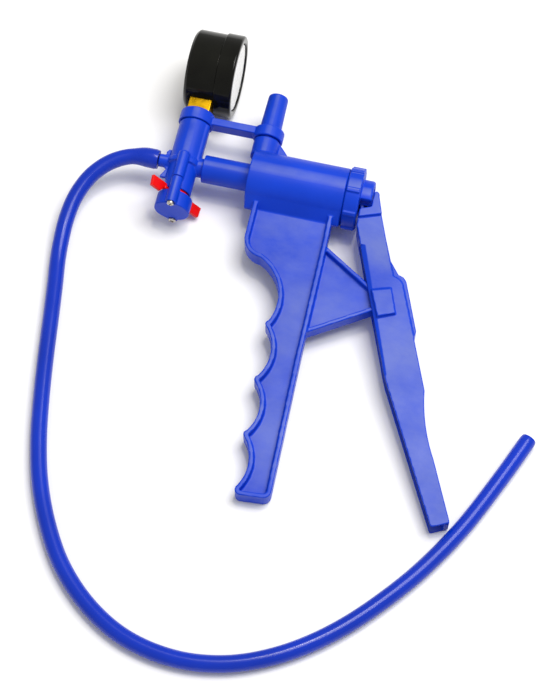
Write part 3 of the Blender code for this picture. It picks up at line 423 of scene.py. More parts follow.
def metal(name, colour, rough, scale, grain):
    """Machined metal: fine tool marks along one direction and small tarnish clouds."""
    made = Nodes(name)
    marks = made.noise(scale, detail=4.0, stretch=TOOL_RUN, roughness=0.6)
    cloud = made.noise(160.0, detail=5.0)
    made.feed("Base Color", made.ramp(cloud, shade(colour, 0.72), shade(colour, 1.15)))
    made.feed("Roughness", made.span(cloud, rough - 0.08, rough + 0.12))
    made.feed("Normal", made.bump(marks, grain, strength=0.7))
    made.set(Metallic=1.0)
    return made.material


def rubber_black():
    """Matt black rubber with a little dust."""
    made = Nodes("rubber_black")
    dust = made.noise(300.0, detail=5.0)
    made.feed("Base Color", made.ramp(dust, RUBBER_DARK, RUBBER_PALE, low=0.35))
    made.feed("Roughness", made.span(dust, 0.6, 0.8))
    made.feed("Normal", made.bump(dust, 0.00004, strength=0.5))
    return made.material


def dial_paint():
    """White paint on the gauge's dial."""
    made = Nodes("dial_paint")
    grain = made.noise(900.0)
    made.feed("Base Color", made.ramp(grain, DIAL_DARK, DIAL_PALE))
    made.feed("Roughness", made.span(grain, 0.4, 0.5))
    return made.material


def lens_plastic():
    """Clear plastic, a little rough where hands have polished it."""
    made = Nodes("lens_clear")
    made.feed("Roughness", made.span(made.noise(120.0, detail=4.0), 0.01, 0.04))
    made.set(Base_Color=LENS_TINT, IOR=1.49, Transmission_Weight=1.0)
    made.set(Coat_Weight=1.0, Coat_IOR=1.6)
    return made.material


# ---- Shapes, in millimetres in the pump's frame ----


def turned(profile, axis="X", centre=(0.0, 0.0, 0.0), segments=96):
    """A closed solid of revolution. The profile is a closed loop of (distance along the axis, radius).

    Each axis has its own phase, the share of a step at which its rings start.
    """
    shape = bmesh.new()
    rings = []
    phase = {"X": 0.5, "Y": 0.0, "Z": 0.3}[axis]
    for along, radius in profile:
        ring = []
        for step in range(1 if radius == 0.0 else segments):
            angle = 2.0 * math.pi * (step + phase) / segments
            across = radius * math.cos(angle)
            over = radius * math.sin(angle)
            spot = {
                "X": (along, across, over),
                "Y": (over, along, across),
                "Z": (across, over, along),
            }[axis]
            ring.append(shape.verts.new(Vector(spot) + Vector(centre)))
        rings.append(ring)
    for number, near in enumerate(rings):
        other = (number + 1) % len(rings)
        far = rings[other]
        if 1 in (len(near), len(far)) and profile[number][0] == profile[other][0]:
            shape.faces.new(max(near, far, key=len))
            continue
        for step in range(segments if len(near) + len(far) > 2 else 0):
            after = (step + 1) % segments
            corners = [
                near[step % len(near)],
                near[after % len(near)],
                far[after % len(far)],
                far[step % len(far)],
            ]
            shape.faces.new(list(dict.fromkeys(corners)))
    for vert in [vert for vert in shape.verts if not vert.link_faces]:
        shape.verts.remove(vert)
    bmesh.ops.recalc_face_normals(shape, faces=shape.faces)
    return shape


def cylinder(radius, start, end, axis="X", centre=(0.0, 0.0, 0.0), segments=64):
    return turned([(start, 0.0), (start, radius), (end, radius), (end, 0.0)], axis, centre, segments)


def rounded(profile, radius, steps=4):
    """The closed profile with each corner off the axis rounded. A corner may state its own radius."""
    result = []
    count = len(profile)
    for number, corner in enumerate(profile):
        point = Vector(corner[:2])
        before = Vector(profile[number - 1][:2]) - point
        after = Vector(profile[(number + 1) % count][:2]) - point
        wanted = corner[2] if len(corner) > 2 else radius
        if point.y == 0.0 or wanted == 0.0:
            result.append((point.x, point.y))
            continue
        one, two = before.normalized(), after.normalized()
        half = one.angle(two) / 2.0
        reach = min(wanted / math.tan(half), before.length * 0.45, after.length * 0.45)
        size = reach * math.tan(half)
        centre = point + (one + two).normalized() * (size / math.sin(half))
        start = point + one * reach - centre
        sweep = (point + two * reach - centre).angle_signed(start)
        for step in range(steps + 1):
            turn = Matrix.Rotation(sweep * step / steps, 2)
            spot = centre + turn @ start
            result.append((spot.x, spot.y))
    return result


def slab(outline, low, high):
    """A prism on an outline in the XY plane, from one height to another."""
    shape = bmesh.new()
    floor = shape.faces.new([shape.verts.new((x, y, low)) for x, y in outline])
    extruded = bmesh.ops.extrude_face_region(shape, geom=[floor])
    raised = [item for item in extruded["geom"] if isinstance(item, bmesh.types.BMVert)]
    bmesh.ops.translate(shape, verts=raised, vec=(0.0, 0.0, high - low))
    bmesh.ops.recalc_face_normals(shape, faces=shape.faces)
    return shape


def block(low, high):
    (x0, y0, z0), (x1, y1, z1) = low, high
    return slab([(x0, y0), (x1, y0), (x1, y1), (x0, y1)], z0, z1)


def beam(start, end, section):
    """A bar between two points of the XY plane, with a section of (distance to the left, height)."""
    run = Vector((end[0] - start[0], end[1] - start[1])).normalized()
    aside = Vector((-run.y, run.x))
    shape = bmesh.new()
    ends = []
    for x, y in (start, end):
        ends.append([shape.verts.new((x + aside.x * over, y + aside.y * over, z)) for over, z in section])
    near, far = ends
    shape.faces.new(near)
    shape.faces.new(far[::-1])
    for one in range(len(section)):
        two = (one + 1) % len(section)
        shape.faces.new([near[two], near[one], far[one], far[two]])
    bmesh.ops.recalc_face_normals(shape, faces=shape.faces)
    return shape


def arc_through(start, via, end, steps):
    """Points on the circle through three points, from the first to the last, without the first."""
    (ax, ay), (bx, by), (cx, cy) = start, via, end
    d = 2.0 * (ax * (by - cy) + bx * (cy - ay) + cx * (ay - by))
    a2, b2, c2 = ax * ax + ay * ay, bx * bx + by * by, cx * cx + cy * cy
    ox = (a2 * (by - cy) + b2 * (cy - ay) + c2 * (ay - by)) / d
    oy = (a2 * (cx - bx) + b2 * (ax - cx) + c2 * (bx - ax)) / d
    radius = math.hypot(ax - ox, ay - oy)
    first = math.atan2(ay - oy, ax - ox)
    middle = (math.atan2(by - oy, bx - ox) - first) % (2.0 * math.pi)
    last = (math.atan2(cy - oy, cx - ox) - first) % (2.0 * math.pi)
    sweep = last if middle < last else last - 2.0 * math.pi
    angles = [first + sweep * step / steps for step in range(1, steps + 1)]
    return [(ox + radius * math.cos(angle), oy + radius * math.sin(angle)) for angle in angles]


def arm_point(across, along):
    """A point of the lever's upper arm: across it and along it from the pivot."""
    turn_cos, turn_sin = math.cos(ARM_ANGLE), math.sin(ARM_ANGLE)
    return (
        PIVOT_X + across * turn_cos - along * turn_sin,
        PIVOT_Y + across * turn_sin + along * turn_cos,
    )


def join_loops(shape, pairs):
    """Makes a band of faces between the two rings of each pair."""
    for near, far in pairs:
        for side in range(len(near)):
            after = (side + 1) % len(near)
            shape.faces.new([near[side], near[after], far[after], far[side]])


def spin(shape, angle, axis, centre=(0.0, 0.0, 0.0)):
    """Turns a shape about an axis through the centre."""
    bmesh.ops.rotate(shape, verts=shape.verts, cent=centre, matrix=Matrix.Rotation(angle, 3, axis))
    return shape


# ---- Objects ----


def new_object(name, shape):
    """An object from a shape that is already in metres of the world's frame."""
    mesh = bpy.data.meshes.new(name)
    shape.to_mesh(mesh)
    shape.free()
    made = bpy.data.objects.new(name, mesh)
    bpy.context.scene.collection.objects.link(made)
    return made


def raw_object(name, shape):
    """An object from a shape in millimetres, placed as the pump lies."""
    bmesh.ops.scale(shape, verts=shape.verts, vec=(MM, MM, MM))
    bmesh.ops.transform(shape, matrix=TO_WORLD, verts=shape.verts)
    return new_object(name, shape)


def settle(made):
    """Applies an object's modifiers."""
    bpy.context.view_layer.update()
    shape = made.evaluated_get(bpy.context.evaluated_depsgraph_get())
    mesh = bpy.data.meshes.new_from_object(shape)
    made.modifiers.clear()
    made.data = mesh


def carve(made, operation, shape):
    """Joins one shape to an object, or cuts it out, at once."""
    tool = raw_object(made.name + "_tool", shape)
    modifier = made.modifiers.new("carve", "BOOLEAN")
    modifier.operation = operation
    modifier.object = tool
    settle(made)
    bpy.data.objects.remove(tool, do_unlink=True)


def finish_piece(made, material, body, nodes, angle=35.0):
    """Shades a piece, gives it its material and puts it on its body in place of its CAD nodes."""
    made.data.shade_smooth()
    made.data.set_sharp_from_angle(angle=math.radians(angle))
    made.data.materials.clear()
    made.data.materials.append(material)
    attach(made, body)
    if nodes:
        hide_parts(*nodes)
    return made


def even_normals(made):
    """Lets large faces set the shading, so that they stay true beside small rounded edges."""
    normals = made.modifiers.new("normals", "WEIGHTED_NORMAL")
    normals.keep_sharp = True
    return made


def piece(name, shape, material, body, nodes, angle=35.0):
    """A finished piece straight from a shape."""
    return even_normals(finish_piece(raw_object(name, shape), material, body, nodes, angle))


def moulding(name, steps, voxel, soften, keep, material, body, nodes):
    """A moulded piece: shapes joined and cut in turn, then softened so that each edge gets a radius."""
    made = raw_object(name, steps[0][1])
    tools = []
    for number, (operation, shape) in enumerate(steps[1:]):
        tool = raw_object(f"{name}_tool_{number}", shape)
        tools.append(tool)
        modifier = made.modifiers.new(f"step_{number}", "BOOLEAN")
        modifier.operation = operation
        modifier.object = tool
        modifier.solver = "EXACT"
    remesh = made.modifiers.new("remesh", "REMESH")
    remesh.mode = "VOXEL"
    remesh.voxel_size = voxel * MM
    smooth = made.modifiers.new("soften", "SMOOTH")
    smooth.factor = 0.5
    smooth.iterations = soften
    reduce = made.modifiers.new("reduce", "DECIMATE")
    reduce.ratio = keep
    settle(made)
    for tool in tools:
        bpy.data.objects.remove(tool, do_unlink=True)
    return even_normals(finish_piece(made, material, body, nodes, 80.0))


JOIN = "UNION"
CUT = "DIFFERENCE"


# ---- Pump body ----


def grip_outline():
    """The grip from the side: a straight back, and a front with one large and three small hollows."""
    points = [(19.5, -6.0), (-20.3, -6.0), (-20.3, -32.5)]
    points += arc_through((-20.3, -32.5), (-17.6, -40.7), (-10.2, -44.3), 12)
    start = (-10.2, -44.3)
    for via, tip, steps in FINGER_HOLLOWS:
        end = (tip[0] + 1.2, tip[1] + 1.4)
        points += arc_through(start, via, end, steps)
        start = (tip[0] + 0.4, tip[1] - 1.6)
        points += arc_through(end, tip, start, 6)
    points += arc_through(start, (8.5, -149.5), (5.2, -163.0), 20)
    points += arc_through((5.2, -163.0), (5.9, -165.6), (8.4, GRIP_FOOT_Y), 8)
    points += [(18.4, -165.7)]
    points += arc_through((18.4, -165.7), (21.2, -164.4), (22.2, -161.4), 8)
    points += [(20.6, -90.0), (20.2, -30.0)]
    return points


def grip_shape():
    """An I-section slab: the rim keeps the full width and both sides are sunk to the web."""
    shape = slab(grip_outline(), -GRIP_HALF, GRIP_HALF)
    for side in (1.0, -1.0):
        shape.normal_update()
        face = max(shape.faces, key=lambda f: f.calc_area() * (f.normal.z * side > 0.9))
        bmesh.ops.inset_region(shape, faces=[face], thickness=2.2, use_even_offset=True)
        sunk = bmesh.ops.extrude_face_region(shape, geom=[face])
        moved = [item for item in sunk["geom"] if isinstance(item, bmesh.types.BMVert)]
        bmesh.ops.delete(shape, geom=[face], context="FACES")
        bmesh.ops.translate(shape, verts=moved, vec=(0.0, 0.0, -side * (GRIP_HALF - WEB_HALF)))
    return shape


def strip(start, end, thickness, half):
    """A straight flange: its outer edge runs from start to end and its thickness lies to the left."""
    run = Vector((end[0] - start[0], end[1] - start[1])).normalized()
    inward = Vector((-run.y, run.x)) * thickness
    inner_end = (end[0] + inward.x, end[1] + inward.y)
    inner_start = (start[0] + inward.x, start[1] + inward.y)
    return slab([start, end, inner_end, inner_start], -half, half)


def make_body(blue):
    barrel = turned(
        [
            (-49.5, 0.0),
            (-49.5, 7.0),
            (-25.4, 7.0),
            (-25.4, BARREL_R),
            (23.4, BARREL_R),
            (23.4, THREAD_R),
            (28.5, THREAD_R),
            (28.5, 0.0),
        ],
        segments=128,
    )
    pivot = (PIVOT_X, PIVOT_Y, 0.0)
    boss_foot = (EXHAUST_X, 0.0, 0.0)
    keel = [(-6.0, 8.0), (-11.7, 8.0), (-17.2, 0.9), (-17.2, -0.9), (-11.7, -8.0), (-6.0, -8.0)]
    top_start, top_end = (19.0, -30.0), (50.8, -50.4)
    low_start, low_end = (19.0, -79.2), (50.8, -58.8)
    web = WEB_HALF - 0.1
    bores = turned(
        [
            (-54.5, 0.0),
            (-54.5, 5.2),
            (-34.0, 5.2),
            (-34.0, 4.0),
            (-27.0, 4.0),
            (-27.0, 1.6),
            (-22.4, 1.6),
            (-22.4, BORE_R),
            (33.5, BORE_R),
            (33.5, 0.0),
        ],
        segments=96,
    )
    steps = [
        (JOIN, barrel),
        (JOIN, beam((-24.9, 0.0), (23.0, 0.0), keel)),
        (JOIN, grip_shape()),
        (JOIN, cylinder(6.7, 12.0, 21.7, "Y", boss_foot)),
        (JOIN, slab([(-17.0, 12.0), (-6.5, 12.0), (-14.6, 21.0), (-17.0, 21.0)], -1.3, 1.3)),
        (JOIN, slab([top_start, low_start, low_end, top_end], -web, web)),
        (JOIN, strip(top_end, top_start, 2.0, BRACKET_HALF)),
        (JOIN, strip(low_start, low_end, 2.0, BRACKET_HALF)),
        (JOIN, cylinder(5.5, -BRACKET_HALF, BRACKET_HALF, "Z", pivot)),
        (CUT, cylinder(PIVOT_R + GAP, -9.0, 9.0, "Z", pivot, 32)),
        (CUT, bores),
        (CUT, cylinder(4.3, 15.6, 26.0, "Y", boss_foot)),
    ]
    moulding("body_moulding", steps, 0.4, 3, 0.22, blue, "pump", ["pump_body"])


def make_end_cap(blue):
    ring = turned(
        rounded(
            [
                (23.8, THREAD_R + GAP, 0.2),
                (23.8, 15.3),
                (31.0, 15.3),
                (31.0, ROD_R + GAP, 0.2),
                (28.9, ROD_R + GAP, 0.2),
                (28.9, THREAD_R + GAP, 0.2),
            ],
            0.5,
        ),
        segments=128,
    )
    hood_profile = [(30.2, ROD_R + 1.9), (30.2, 10.4), (36.9, 10.4, 2.2), (36.9, ROD_R + 1.9, 0.4)]
    hood = turned(rounded(hood_profile, 0.2), segments=96)
    steps = [(JOIN, hood), (CUT, block((29.0, -20.0, -20.0), (40.0, -4.0, 20.0))), (JOIN, ring)]
    for number in range(LUG_COUNT):
        lug = block((24.1, -1.1, 14.6), (30.7, 1.1, 16.2))
        steps.append((JOIN, spin(lug, 2.0 * math.pi * (number + LUG_PHASE) / LUG_COUNT, "X")))
    moulding("cap_moulding", steps, 0.3, 3, 0.25, blue, "pump", ["end_cap"])


def make_nozzle(blue):
    profile = [
        (17.8, 2.2),
        (17.8, 4.0),
        (22.0, 4.0),
        (22.0, 5.6, 0.2),
        (29.0, 5.5, 0.1),
        (47.3, 5.08, 0.1),
        (48.3, 4.9, 0.6),
        (48.3, 2.2, 0.3),
    ]
    shape = turned(rounded(profile, 0.2), "Y", (EXHAUST_X, 0.0, 0.0))
    piece("nozzle_moulding", shape, blue, "pump", ["exhaust_nozzle"])


def make_spring(steel):
    """The return spring, built as a fixed coil. In the pump the piston squeezes it against the cap's wall
    as the rod comes out.
    """
    per_turn, sides = 36, 10
    count = SPRING_TURNS * per_turn
    shape = bmesh.new()
    loops = []
    for step in range(count + 1):
        angle = 2.0 * math.pi * step / per_turn
        along = SPRING_FIRST_X + (SPRING_LAST_X - SPRING_FIRST_X) * step / count
        loop = []
        for side in range(sides):
            turn = 2.0 * math.pi * side / sides
            reach = SPRING_R + SPRING_WIRE_R * math.cos(turn)
            x = along + SPRING_WIRE_R * math.sin(turn)
            loop.append(shape.verts.new((x, reach * math.cos(angle), reach * math.sin(angle))))
        loops.append(loop)
    join_loops(shape, zip(loops, loops[1:]))
    shape.faces.new(loops[0])
    shape.faces.new(loops[-1][::-1])
    bmesh.ops.recalc_face_normals(shape, faces=shape.faces)
    wire = raw_object("spring_coil", shape)
    coil = finish_piece(wire, steel, "pump", ["return_spring"], 50.0)
    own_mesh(coil)


# ---- Palm lever ----


def lever_cheek_outline():
    points = [(31.9, -11.9), (32.4, -17.2), (42.9, -44.9), (58.7, -85.3)]
    points += arc_through((58.7, -85.3), (61.4, -92.4), (64.9, -99.5), 8)
    points += [(97.4, -162.1), (98.4, -162.1), (105.7, -158.5), (105.4, -157.3), (92.6, -129.4)]
    points += arc_through((92.6, -129.4), (85.6, -113.0), (81.9, -96.3), 16)
    points += [(71.0, -69.0), (60.6, -43.6)]
    points += arc_through((60.6, -43.6), (58.6, -41.6), (55.4, -40.4), 8)
    points += [(52.4, -33.0), (42.6, -7.4)]
    return points


def lever_spine_outline():
    points = [(44.0, -20.0), (60.0, -80.0), (75.0, -82.0), (71.6, -69.4), (72.0, -66.6), (62.4, -42.0)]
    points += arc_through((62.4, -42.0), (60.6, -39.8), (57.9, -38.9), 8)
    points += [(52.7, -32.4), (48.0, -21.0)]
    return points


def make_lever(blue):
    pivot = (PIVOT_X, PIVOT_Y, 0.0)
    cheeks = slab(lever_cheek_outline(), -1.0, 1.0)
    top_y = max(vert.co.y for vert in cheeks.verts)
    for vert in cheeks.verts:
        share = (vert.co.y + 162.1) / (top_y + 162.1)
        vert.co.z *= 4.9 + 1.4 * share
    head = [arm_point(-6.5, 46.8), arm_point(5.2, 46.8), (40.2, 0.0)]
    head += arc_through((40.2, 0.0), (39.6, 1.8), (38.2, 2.4), 6)
    head += [(37.4, 1.8), (37.4, -6.4), (31.9, -8.8)]
    room = [arm_point(-9.0, 48.4), arm_point(9.0, 48.4), arm_point(9.0, 70.0), arm_point(-9.0, 70.0)]
    tongue = [arm_point(-4.4, 44.0), arm_point(4.4, 44.0)]
    for step in range(17):
        angle = math.pi * step / 16
        tongue.append(arm_point(4.4 * math.cos(angle), 58.4 + 4.4 * math.sin(angle)))
    slot = []
    for centre, first in ((58.4, 0.0), (54.6, math.pi)):
        for step in range(13):
            angle = first + math.pi * step / 12
            slot.append(arm_point(2.5 * math.cos(angle), centre + 2.5 * math.sin(angle)))
    channel = [(34.5, -24.0), (44.4, -24.0), (50.8, -41.2), (57.4, -43.6), (68.6, -70.6), (79.2, -97.0)]
    channel += arc_through((79.2, -97.0), (83.0, -113.0), (90.0, -129.6), 10)
    channel += [(102.9, -157.8), (105.5, -167.0), (70.0, -167.0), (20.0, -50.0), (20.0, -24.0)]
    steps = [
        (JOIN, cheeks),
        (JOIN, slab(lever_spine_outline(), -4.9, 4.9)),
        (JOIN, slab(head, -8.0, 8.0)),
        (CUT, slab(room, -ROD_R - 0.6, ROD_R + 0.6)),
        (JOIN, slab(tongue, -3.2, 3.2)),
    ]
    for side in (1.0, -1.0):
        low, high = sorted((side * 5.0, side * 8.0))
        pad = slab([(45.9, -49.4), (52.2, -64.2), (60.4, -60.6), (55.1, -46.4)], low, high)
        for vert in pad.verts:
            if vert.co.y > -55.0 and abs(vert.co.z) > 7.0:
                vert.co += Vector((0.8, -1.9, 0.0))
        slope = [(-1.0, side * 3.6), (-1.0, side * 8.0), (2.3, side * 8.0)]
        slope += [(2.3, side * 6.2), (0.0, side * 4.9)]
        steps += [(CUT, beam((36.4, -27.5), (61.5, -93.0), slope)), (JOIN, pad)]
    steps += [
        (CUT, slab(channel, -4.0, 4.0)),
        (CUT, slab(slot, -6.0, 6.0)),
        (CUT, cylinder(PIVOT_R + GAP, -12.0, 6.8, "Z", pivot, 32)),
    ]
    moulding("lever_moulding", steps, 0.36, 3, 0.22, blue, "palm_lever", ["lever"])


# ---- Manifold, release valve and strap ----


def upright(z):
    return (MANIFOLD_X, 0.0, z)


def make_manifold(blue):
    axis_foot = upright(0.0)
    tube = turned(
        [
            (29.2, 0.0),
            (29.2, 7.4),
            (23.0, 7.4),
            (23.0, MANIFOLD_R),
            (1.3, MANIFOLD_R),
            (0.9, 8.6),
            (-1.6, 8.6),
            (-2.0, MANIFOLD_LOW_R),
            (-16.9, MANIFOLD_LOW_R),
            (-16.9, 0.0),
        ],
        "Y",
        axis_foot,
    )
    groove = [(-41.6, 4.9), (-41.6, 3.5), (-39.2, 3.5), (-39.2, 4.9)]
    spigot = turned([(MANIFOLD_X, 0.0), (MANIFOLD_X, 4.9), *groove, (-35.2, 4.9), (-35.2, 0.0)])
    plate = [(-69.7, -2.8), (-67.8, -4.8), (-69.8, -8.5), (-69.8, -9.4)]
    plate += [(-60.0, -9.4), (-60.0, 6.4), (-68.6, 6.4), (-69.7, 5.2)]
    nipple = rounded([(MANIFOLD_X, 0.0), (MANIFOLD_X, 3.3), (-72.4, 3.3), (-72.4, 0.0)], 0.3)
    steps = [
        (JOIN, tube),
        (JOIN, spigot),
        (JOIN, turned(nipple, segments=64)),
        (JOIN, slab(plate, -1.0, 1.0)),
        (JOIN, cylinder(2.1, 2.0, 22.6, "Y", (MANIFOLD_X + 6.0, 0.0, 3.0))),
    ]
    for z in (COLUMN_Z, -COLUMN_Z):
        foot_y = COLUMN_TOP_Y + GAP
        column = [(foot_y, 0.0), (foot_y, COLUMN_R), (2.1, COLUMN_R), (2.8, COLUMN_R - 0.7), (2.8, 0.0)]
        steps.append((JOIN, turned(column, "Y", upright(z), 48)))
    steps += [
        (CUT, cylinder(4.6, 12.0, 33.0, "Y", axis_foot)),
        (CUT, cylinder(VALVE_CAVITY_R, -19.9, -10.0, "Y", axis_foot)),
        (CUT, cylinder(1.6, -11.0, 13.0, "Y", axis_foot, 32)),
        (CUT, cylinder(1.5, -75.4, -32.2, segments=32)),
    ]
    moulding("manifold_moulding", steps, 0.3, 3, 0.25, blue, "pump", ["manifold"])


def make_housing(blue):
    axis_foot = upright(0.0)
    cup = rounded([(-27.0, 0.0), (-27.0, HOUSING_R), (-19.1, HOUSING_R), (-19.1, 0.0)], 0.5)
    steps = [
        (JOIN, cylinder(COLUMN_R, -26.6, COLUMN_TOP_Y, "Y", upright(COLUMN_Z), 48)),
        (JOIN, cylinder(COLUMN_R, -26.6, COLUMN_TOP_Y, "Y", upright(-COLUMN_Z), 48)),
        (CUT, cylinder(MANIFOLD_LOW_R + GAP, -22.1, -9.3, "Y", axis_foot, 96)),
        (JOIN, turned(cup, "Y", axis_foot)),
        (CUT, cylinder(VALVE_CAVITY_R, -25.0, -17.1, "Y", axis_foot, 96)),
    ]
    for z in (SCREW_Z, -SCREW_Z):
        hole = [(-30.0, 0.0), (-30.0, 2.1), (-26.4, 2.1), (-26.4, 1.25), (-9.0, 1.25), (-9.0, 0.0)]
        steps.append((CUT, turned(hole, "Y", upright(z), 32)))
    moulding("housing_moulding", steps, 0.25, 3, 0.3, blue, "pump", ["valve_housing"])


def make_screw(name, z, steel, node, turn):
    """A small pan-head screw with a cross recess."""
    profile = [(-27.9, 0.0), (-27.9, 1.8, 0.7), (-26.7, 1.8, 0.1)]
    profile += [(-26.7, 1.0), (-5.0, 1.0), (-5.0, 0.0)]
    made = raw_object(name, turned(rounded(profile, 0.1), "Y", upright(z), 48))
    for angle in (turn, turn + math.pi / 2):
        blade = block((MANIFOLD_X - 1.25, -29.0, z - 0.26), (MANIFOLD_X + 1.25, -27.2, z + 0.26))
        carve(made, CUT, spin(blade, angle, "Y", upright(z)))
    even_normals(finish_piece(made, steel, "pump", [node], 30.0))


def make_rotor(red):
    axis_foot = upright(0.0)
    plug = rounded([(-24.6, 0.0), (-24.6, 5.9), (-12.0, 5.9), (-12.0, 0.0)], 0.3)
    steps = [(JOIN, turned(plug, "Y", axis_foot))]
    for side in (0.0, math.pi):
        stem = block((5.0, -18.8, -1.3), (8.6, -17.2, 1.3))
        outline = [(7.8, -15.7), (17.4, -15.7), (16.9, -21.3), (10.9, -21.3), (9.2, -18.4), (7.8, -18.4)]
        wing = slab(outline, -WING_HALF, WING_HALF)
        for shape in (stem, wing):
            spin(shape, WING_TURN + side, "Y")
            bmesh.ops.translate(shape, verts=shape.verts, vec=axis_foot)
            bmesh.ops.recalc_face_normals(shape, faces=shape.faces)
            steps.append((JOIN, shape))
    moulding("rotor_moulding", steps, 0.2, 4, 0.3, red, "release_valve", ["valve_rotor"])


def make_strap(blue):
    collar = rounded([(23.3, 7.7, 0.1), (23.3, 8.8, 0.3), (29.7, 8.8, 0.7), (29.7, 7.7, 0.2)], 0.2)
    eye = rounded([(22.3, 5.9, 0.1), (22.3, 7.6), (28.3, 7.6), (28.3, 5.9, 0.1)], 0.5)
    steps = [
        (JOIN, turned(collar, "Y", upright(0.0), 128)),
        (JOIN, turned(eye, "Y", (EXHAUST_X, 0.0, 0.0))),
        (JOIN, block((MANIFOLD_X + 8.0, 24.0, -3.4), (EXHAUST_X - 6.8, 28.0, 3.4))),
    ]
    moulding("strap_moulding", steps, 0.3, 3, 0.25, blue, "pump", ["tie_strap"])


# ---- Gauge ----


def make_gauge(black, lens, white, ink):
    centre = (0.0, GAUGE_Y, 0.0)
    case = [
        (-69.2, 0.0),
        (-69.2, 19.0),
        (-67.6, 20.5),
        (-53.4, 20.5, 0.3),
        (-53.4, 19.9, 0.1),
        (-48.1, 19.9, 0.1),
        (-48.1, 18.6, 0.1),
        (-67.4, 18.6, 0.4),
        (-67.4, 0.0),
    ]
    made = raw_object("case_shell", turned(rounded(case, 1.2), "X", centre, 160))
    carve(made, CUT, block((MANIFOLD_X - 5.9, 32.3, -5.9), (-53.5, 43.8, 5.9)))
    even_normals(finish_piece(made, black, "pump", ["gauge_case"], 60.0))
    bezel = [
        (-53.35, 20.2, 0.2),
        (-53.35, BEZEL_R, 0.4),
        (-44.3, BEZEL_R, 1.3),
        (-44.3, 18.0, 0.5),
        (-44.8, 17.5, 0.3),
        (-46.5, 17.5, 0.2),
        (-46.5, 20.2, 0.2),
    ]
    ring = turned(rounded(bezel, 0.5, 6), "X", centre, 192)
    piece("bezel_ring", ring, black, "pump", ["gauge_bezel"], 60.0)
    clear = [(-47.8, 0.0), (-47.8, 19.7), (-46.8, 19.7)]
    clear += [(-46.8, 17.2, 0.1), (-44.9, 17.2, 0.6), (-44.9, 0.0)]
    disc = turned(rounded(clear, 0.2), "X", centre, 128)
    piece("lens_disc", disc, lens, "pump", ["gauge_lens"])
    dial = rounded([(-51.4, 1.4, 0.1), (-51.4, 18.2, 0.2), (-50.7, 18.2, 0.2), (-50.7, 1.4, 0.1)], 0.2)
    piece("dial_plate", turned(dial, "X", centre, 128), white, "pump", ["gauge_dial"])
    make_dial_marks(centre, ink)
    make_pointer(centre, ink)


def dial_angle(share):
    """The direction, about X from +Y towards +Z, of a share of the scale from its first mark."""
    return math.radians(SCALE_START - SCALE_SWEEP * share)


def make_dial_marks(centre, ink):
    """Generic scale ticks and plain numbers, printed on the dial."""
    marks = bmesh.new()
    for number in range(DIVISIONS + 1):
        long = number % LONG_EVERY == 0
        angle = dial_angle(number / DIVISIONS)
        inner, half = (13.2, 0.16) if long else (14.6, 0.08)
        tick = block((-50.72, inner, -half), (-50.64, TICK_OUTER_R, half))
        gather(marks, spin(tick, angle, "X"))
        if long:
            gather(marks, dial_number(number, angle))
    bmesh.ops.translate(marks, verts=marks.verts, vec=centre)
    piece("dial_ticks", marks, ink, "pump", [])


def dial_number(value, angle):
    """A plain upright number at its place on the scale, raised a hair above the dial."""
    text = bpy.data.curves.new("number", "FONT")
    text.body = str(value)
    text.size = NUMBER_SIZE
    text.extrude = 0.02
    text.align_x = "CENTER"
    text.align_y = "CENTER"
    carrier = bpy.data.objects.new("number", text)
    bpy.context.scene.collection.objects.link(carrier)
    bpy.context.view_layer.update()
    mesh = bpy.data.meshes.new_from_object(carrier.evaluated_get(bpy.context.evaluated_depsgraph_get()))
    bpy.data.objects.remove(carrier, do_unlink=True)
    shape = bmesh.new()
    shape.from_mesh(mesh)
    bpy.data.meshes.remove(mesh)
    facing = Matrix(((0.0, 0.0, 1.0), (0.0, 1.0, 0.0), (-1.0, 0.0, 0.0)))
    bmesh.ops.transform(shape, matrix=facing.to_4x4(), verts=shape.verts)
    spot = (NUMBER_X, NUMBER_R * math.cos(angle), NUMBER_R * math.sin(angle))
    bmesh.ops.translate(shape, verts=shape.verts, vec=spot)
    return shape


def gather(target, shape):
    """Adds one shape's faces to another."""
    copy = bpy.data.meshes.new("gathered")
    shape.to_mesh(copy)
    shape.free()
    target.from_mesh(copy)
    bpy.data.meshes.remove(copy)


def make_pointer(centre, ink):
    """The needle and its arbor, at the first mark of the scale."""
    arbor = [(-58.6, 0.0), (-58.6, 0.8), (-50.5, 0.8)]
    arbor += [(-50.5, 2.0), (-49.4, 2.0, 0.4), (-49.4, 0.0)]
    made = turned(rounded(arbor, 0.1), "X", centre, 32)
    outline = [(-4.8, -1.0), (-3.2, -1.3), (0.0, -0.9), (13.5, -0.15)]
    outline += [(along, -over) for along, over in reversed(outline)]
    blade = slab(outline, 49.8, 50.3)
    spin(blade, -math.pi / 2, "Y")
    spin(blade, -math.pi / 2, "X")
    spin(blade, dial_angle(0.0), "X")
    bmesh.ops.translate(blade, verts=blade.verts, vec=centre)
    gather(made, blade)
    piece("pointer_needle", made, ink, "pointer", ["gauge_pointer"])


def make_stem(brass):
    """The brass square under the gauge, with bevelled edges, a neck into the case and a plain shank."""
    half = 5.6
    body = bmesh.new()
    side = 2.0 * half
    bmesh.ops.create_cube(body, size=1.0)
    bmesh.ops.scale(body, verts=body.verts, vec=(side, 10.4, side))
    bmesh.ops.bevel(body, geom=body.edges[:], offset=0.45, segments=2, affect="EDGES", profile=0.6)
    bmesh.ops.translate(body, verts=body.verts, vec=(MANIFOLD_X, 35.3, 0.0))
    made = raw_object("stem_square", body)
    carve(made, JOIN, block((MANIFOLD_X - 3.5, 39.5, -3.5), (MANIFOLD_X + 3.5, 42.4, 3.5)))
    shank = [(12.6, 0.0), (12.6, 4.3), (31.0, 4.3), (31.0, 0.0)]
    carve(made, JOIN, turned(shank, "Y", upright(0.0), 48))
    even_normals(finish_piece(made, brass, "pump", ["gauge_stem"], 40.0))


# ---- Hose ----


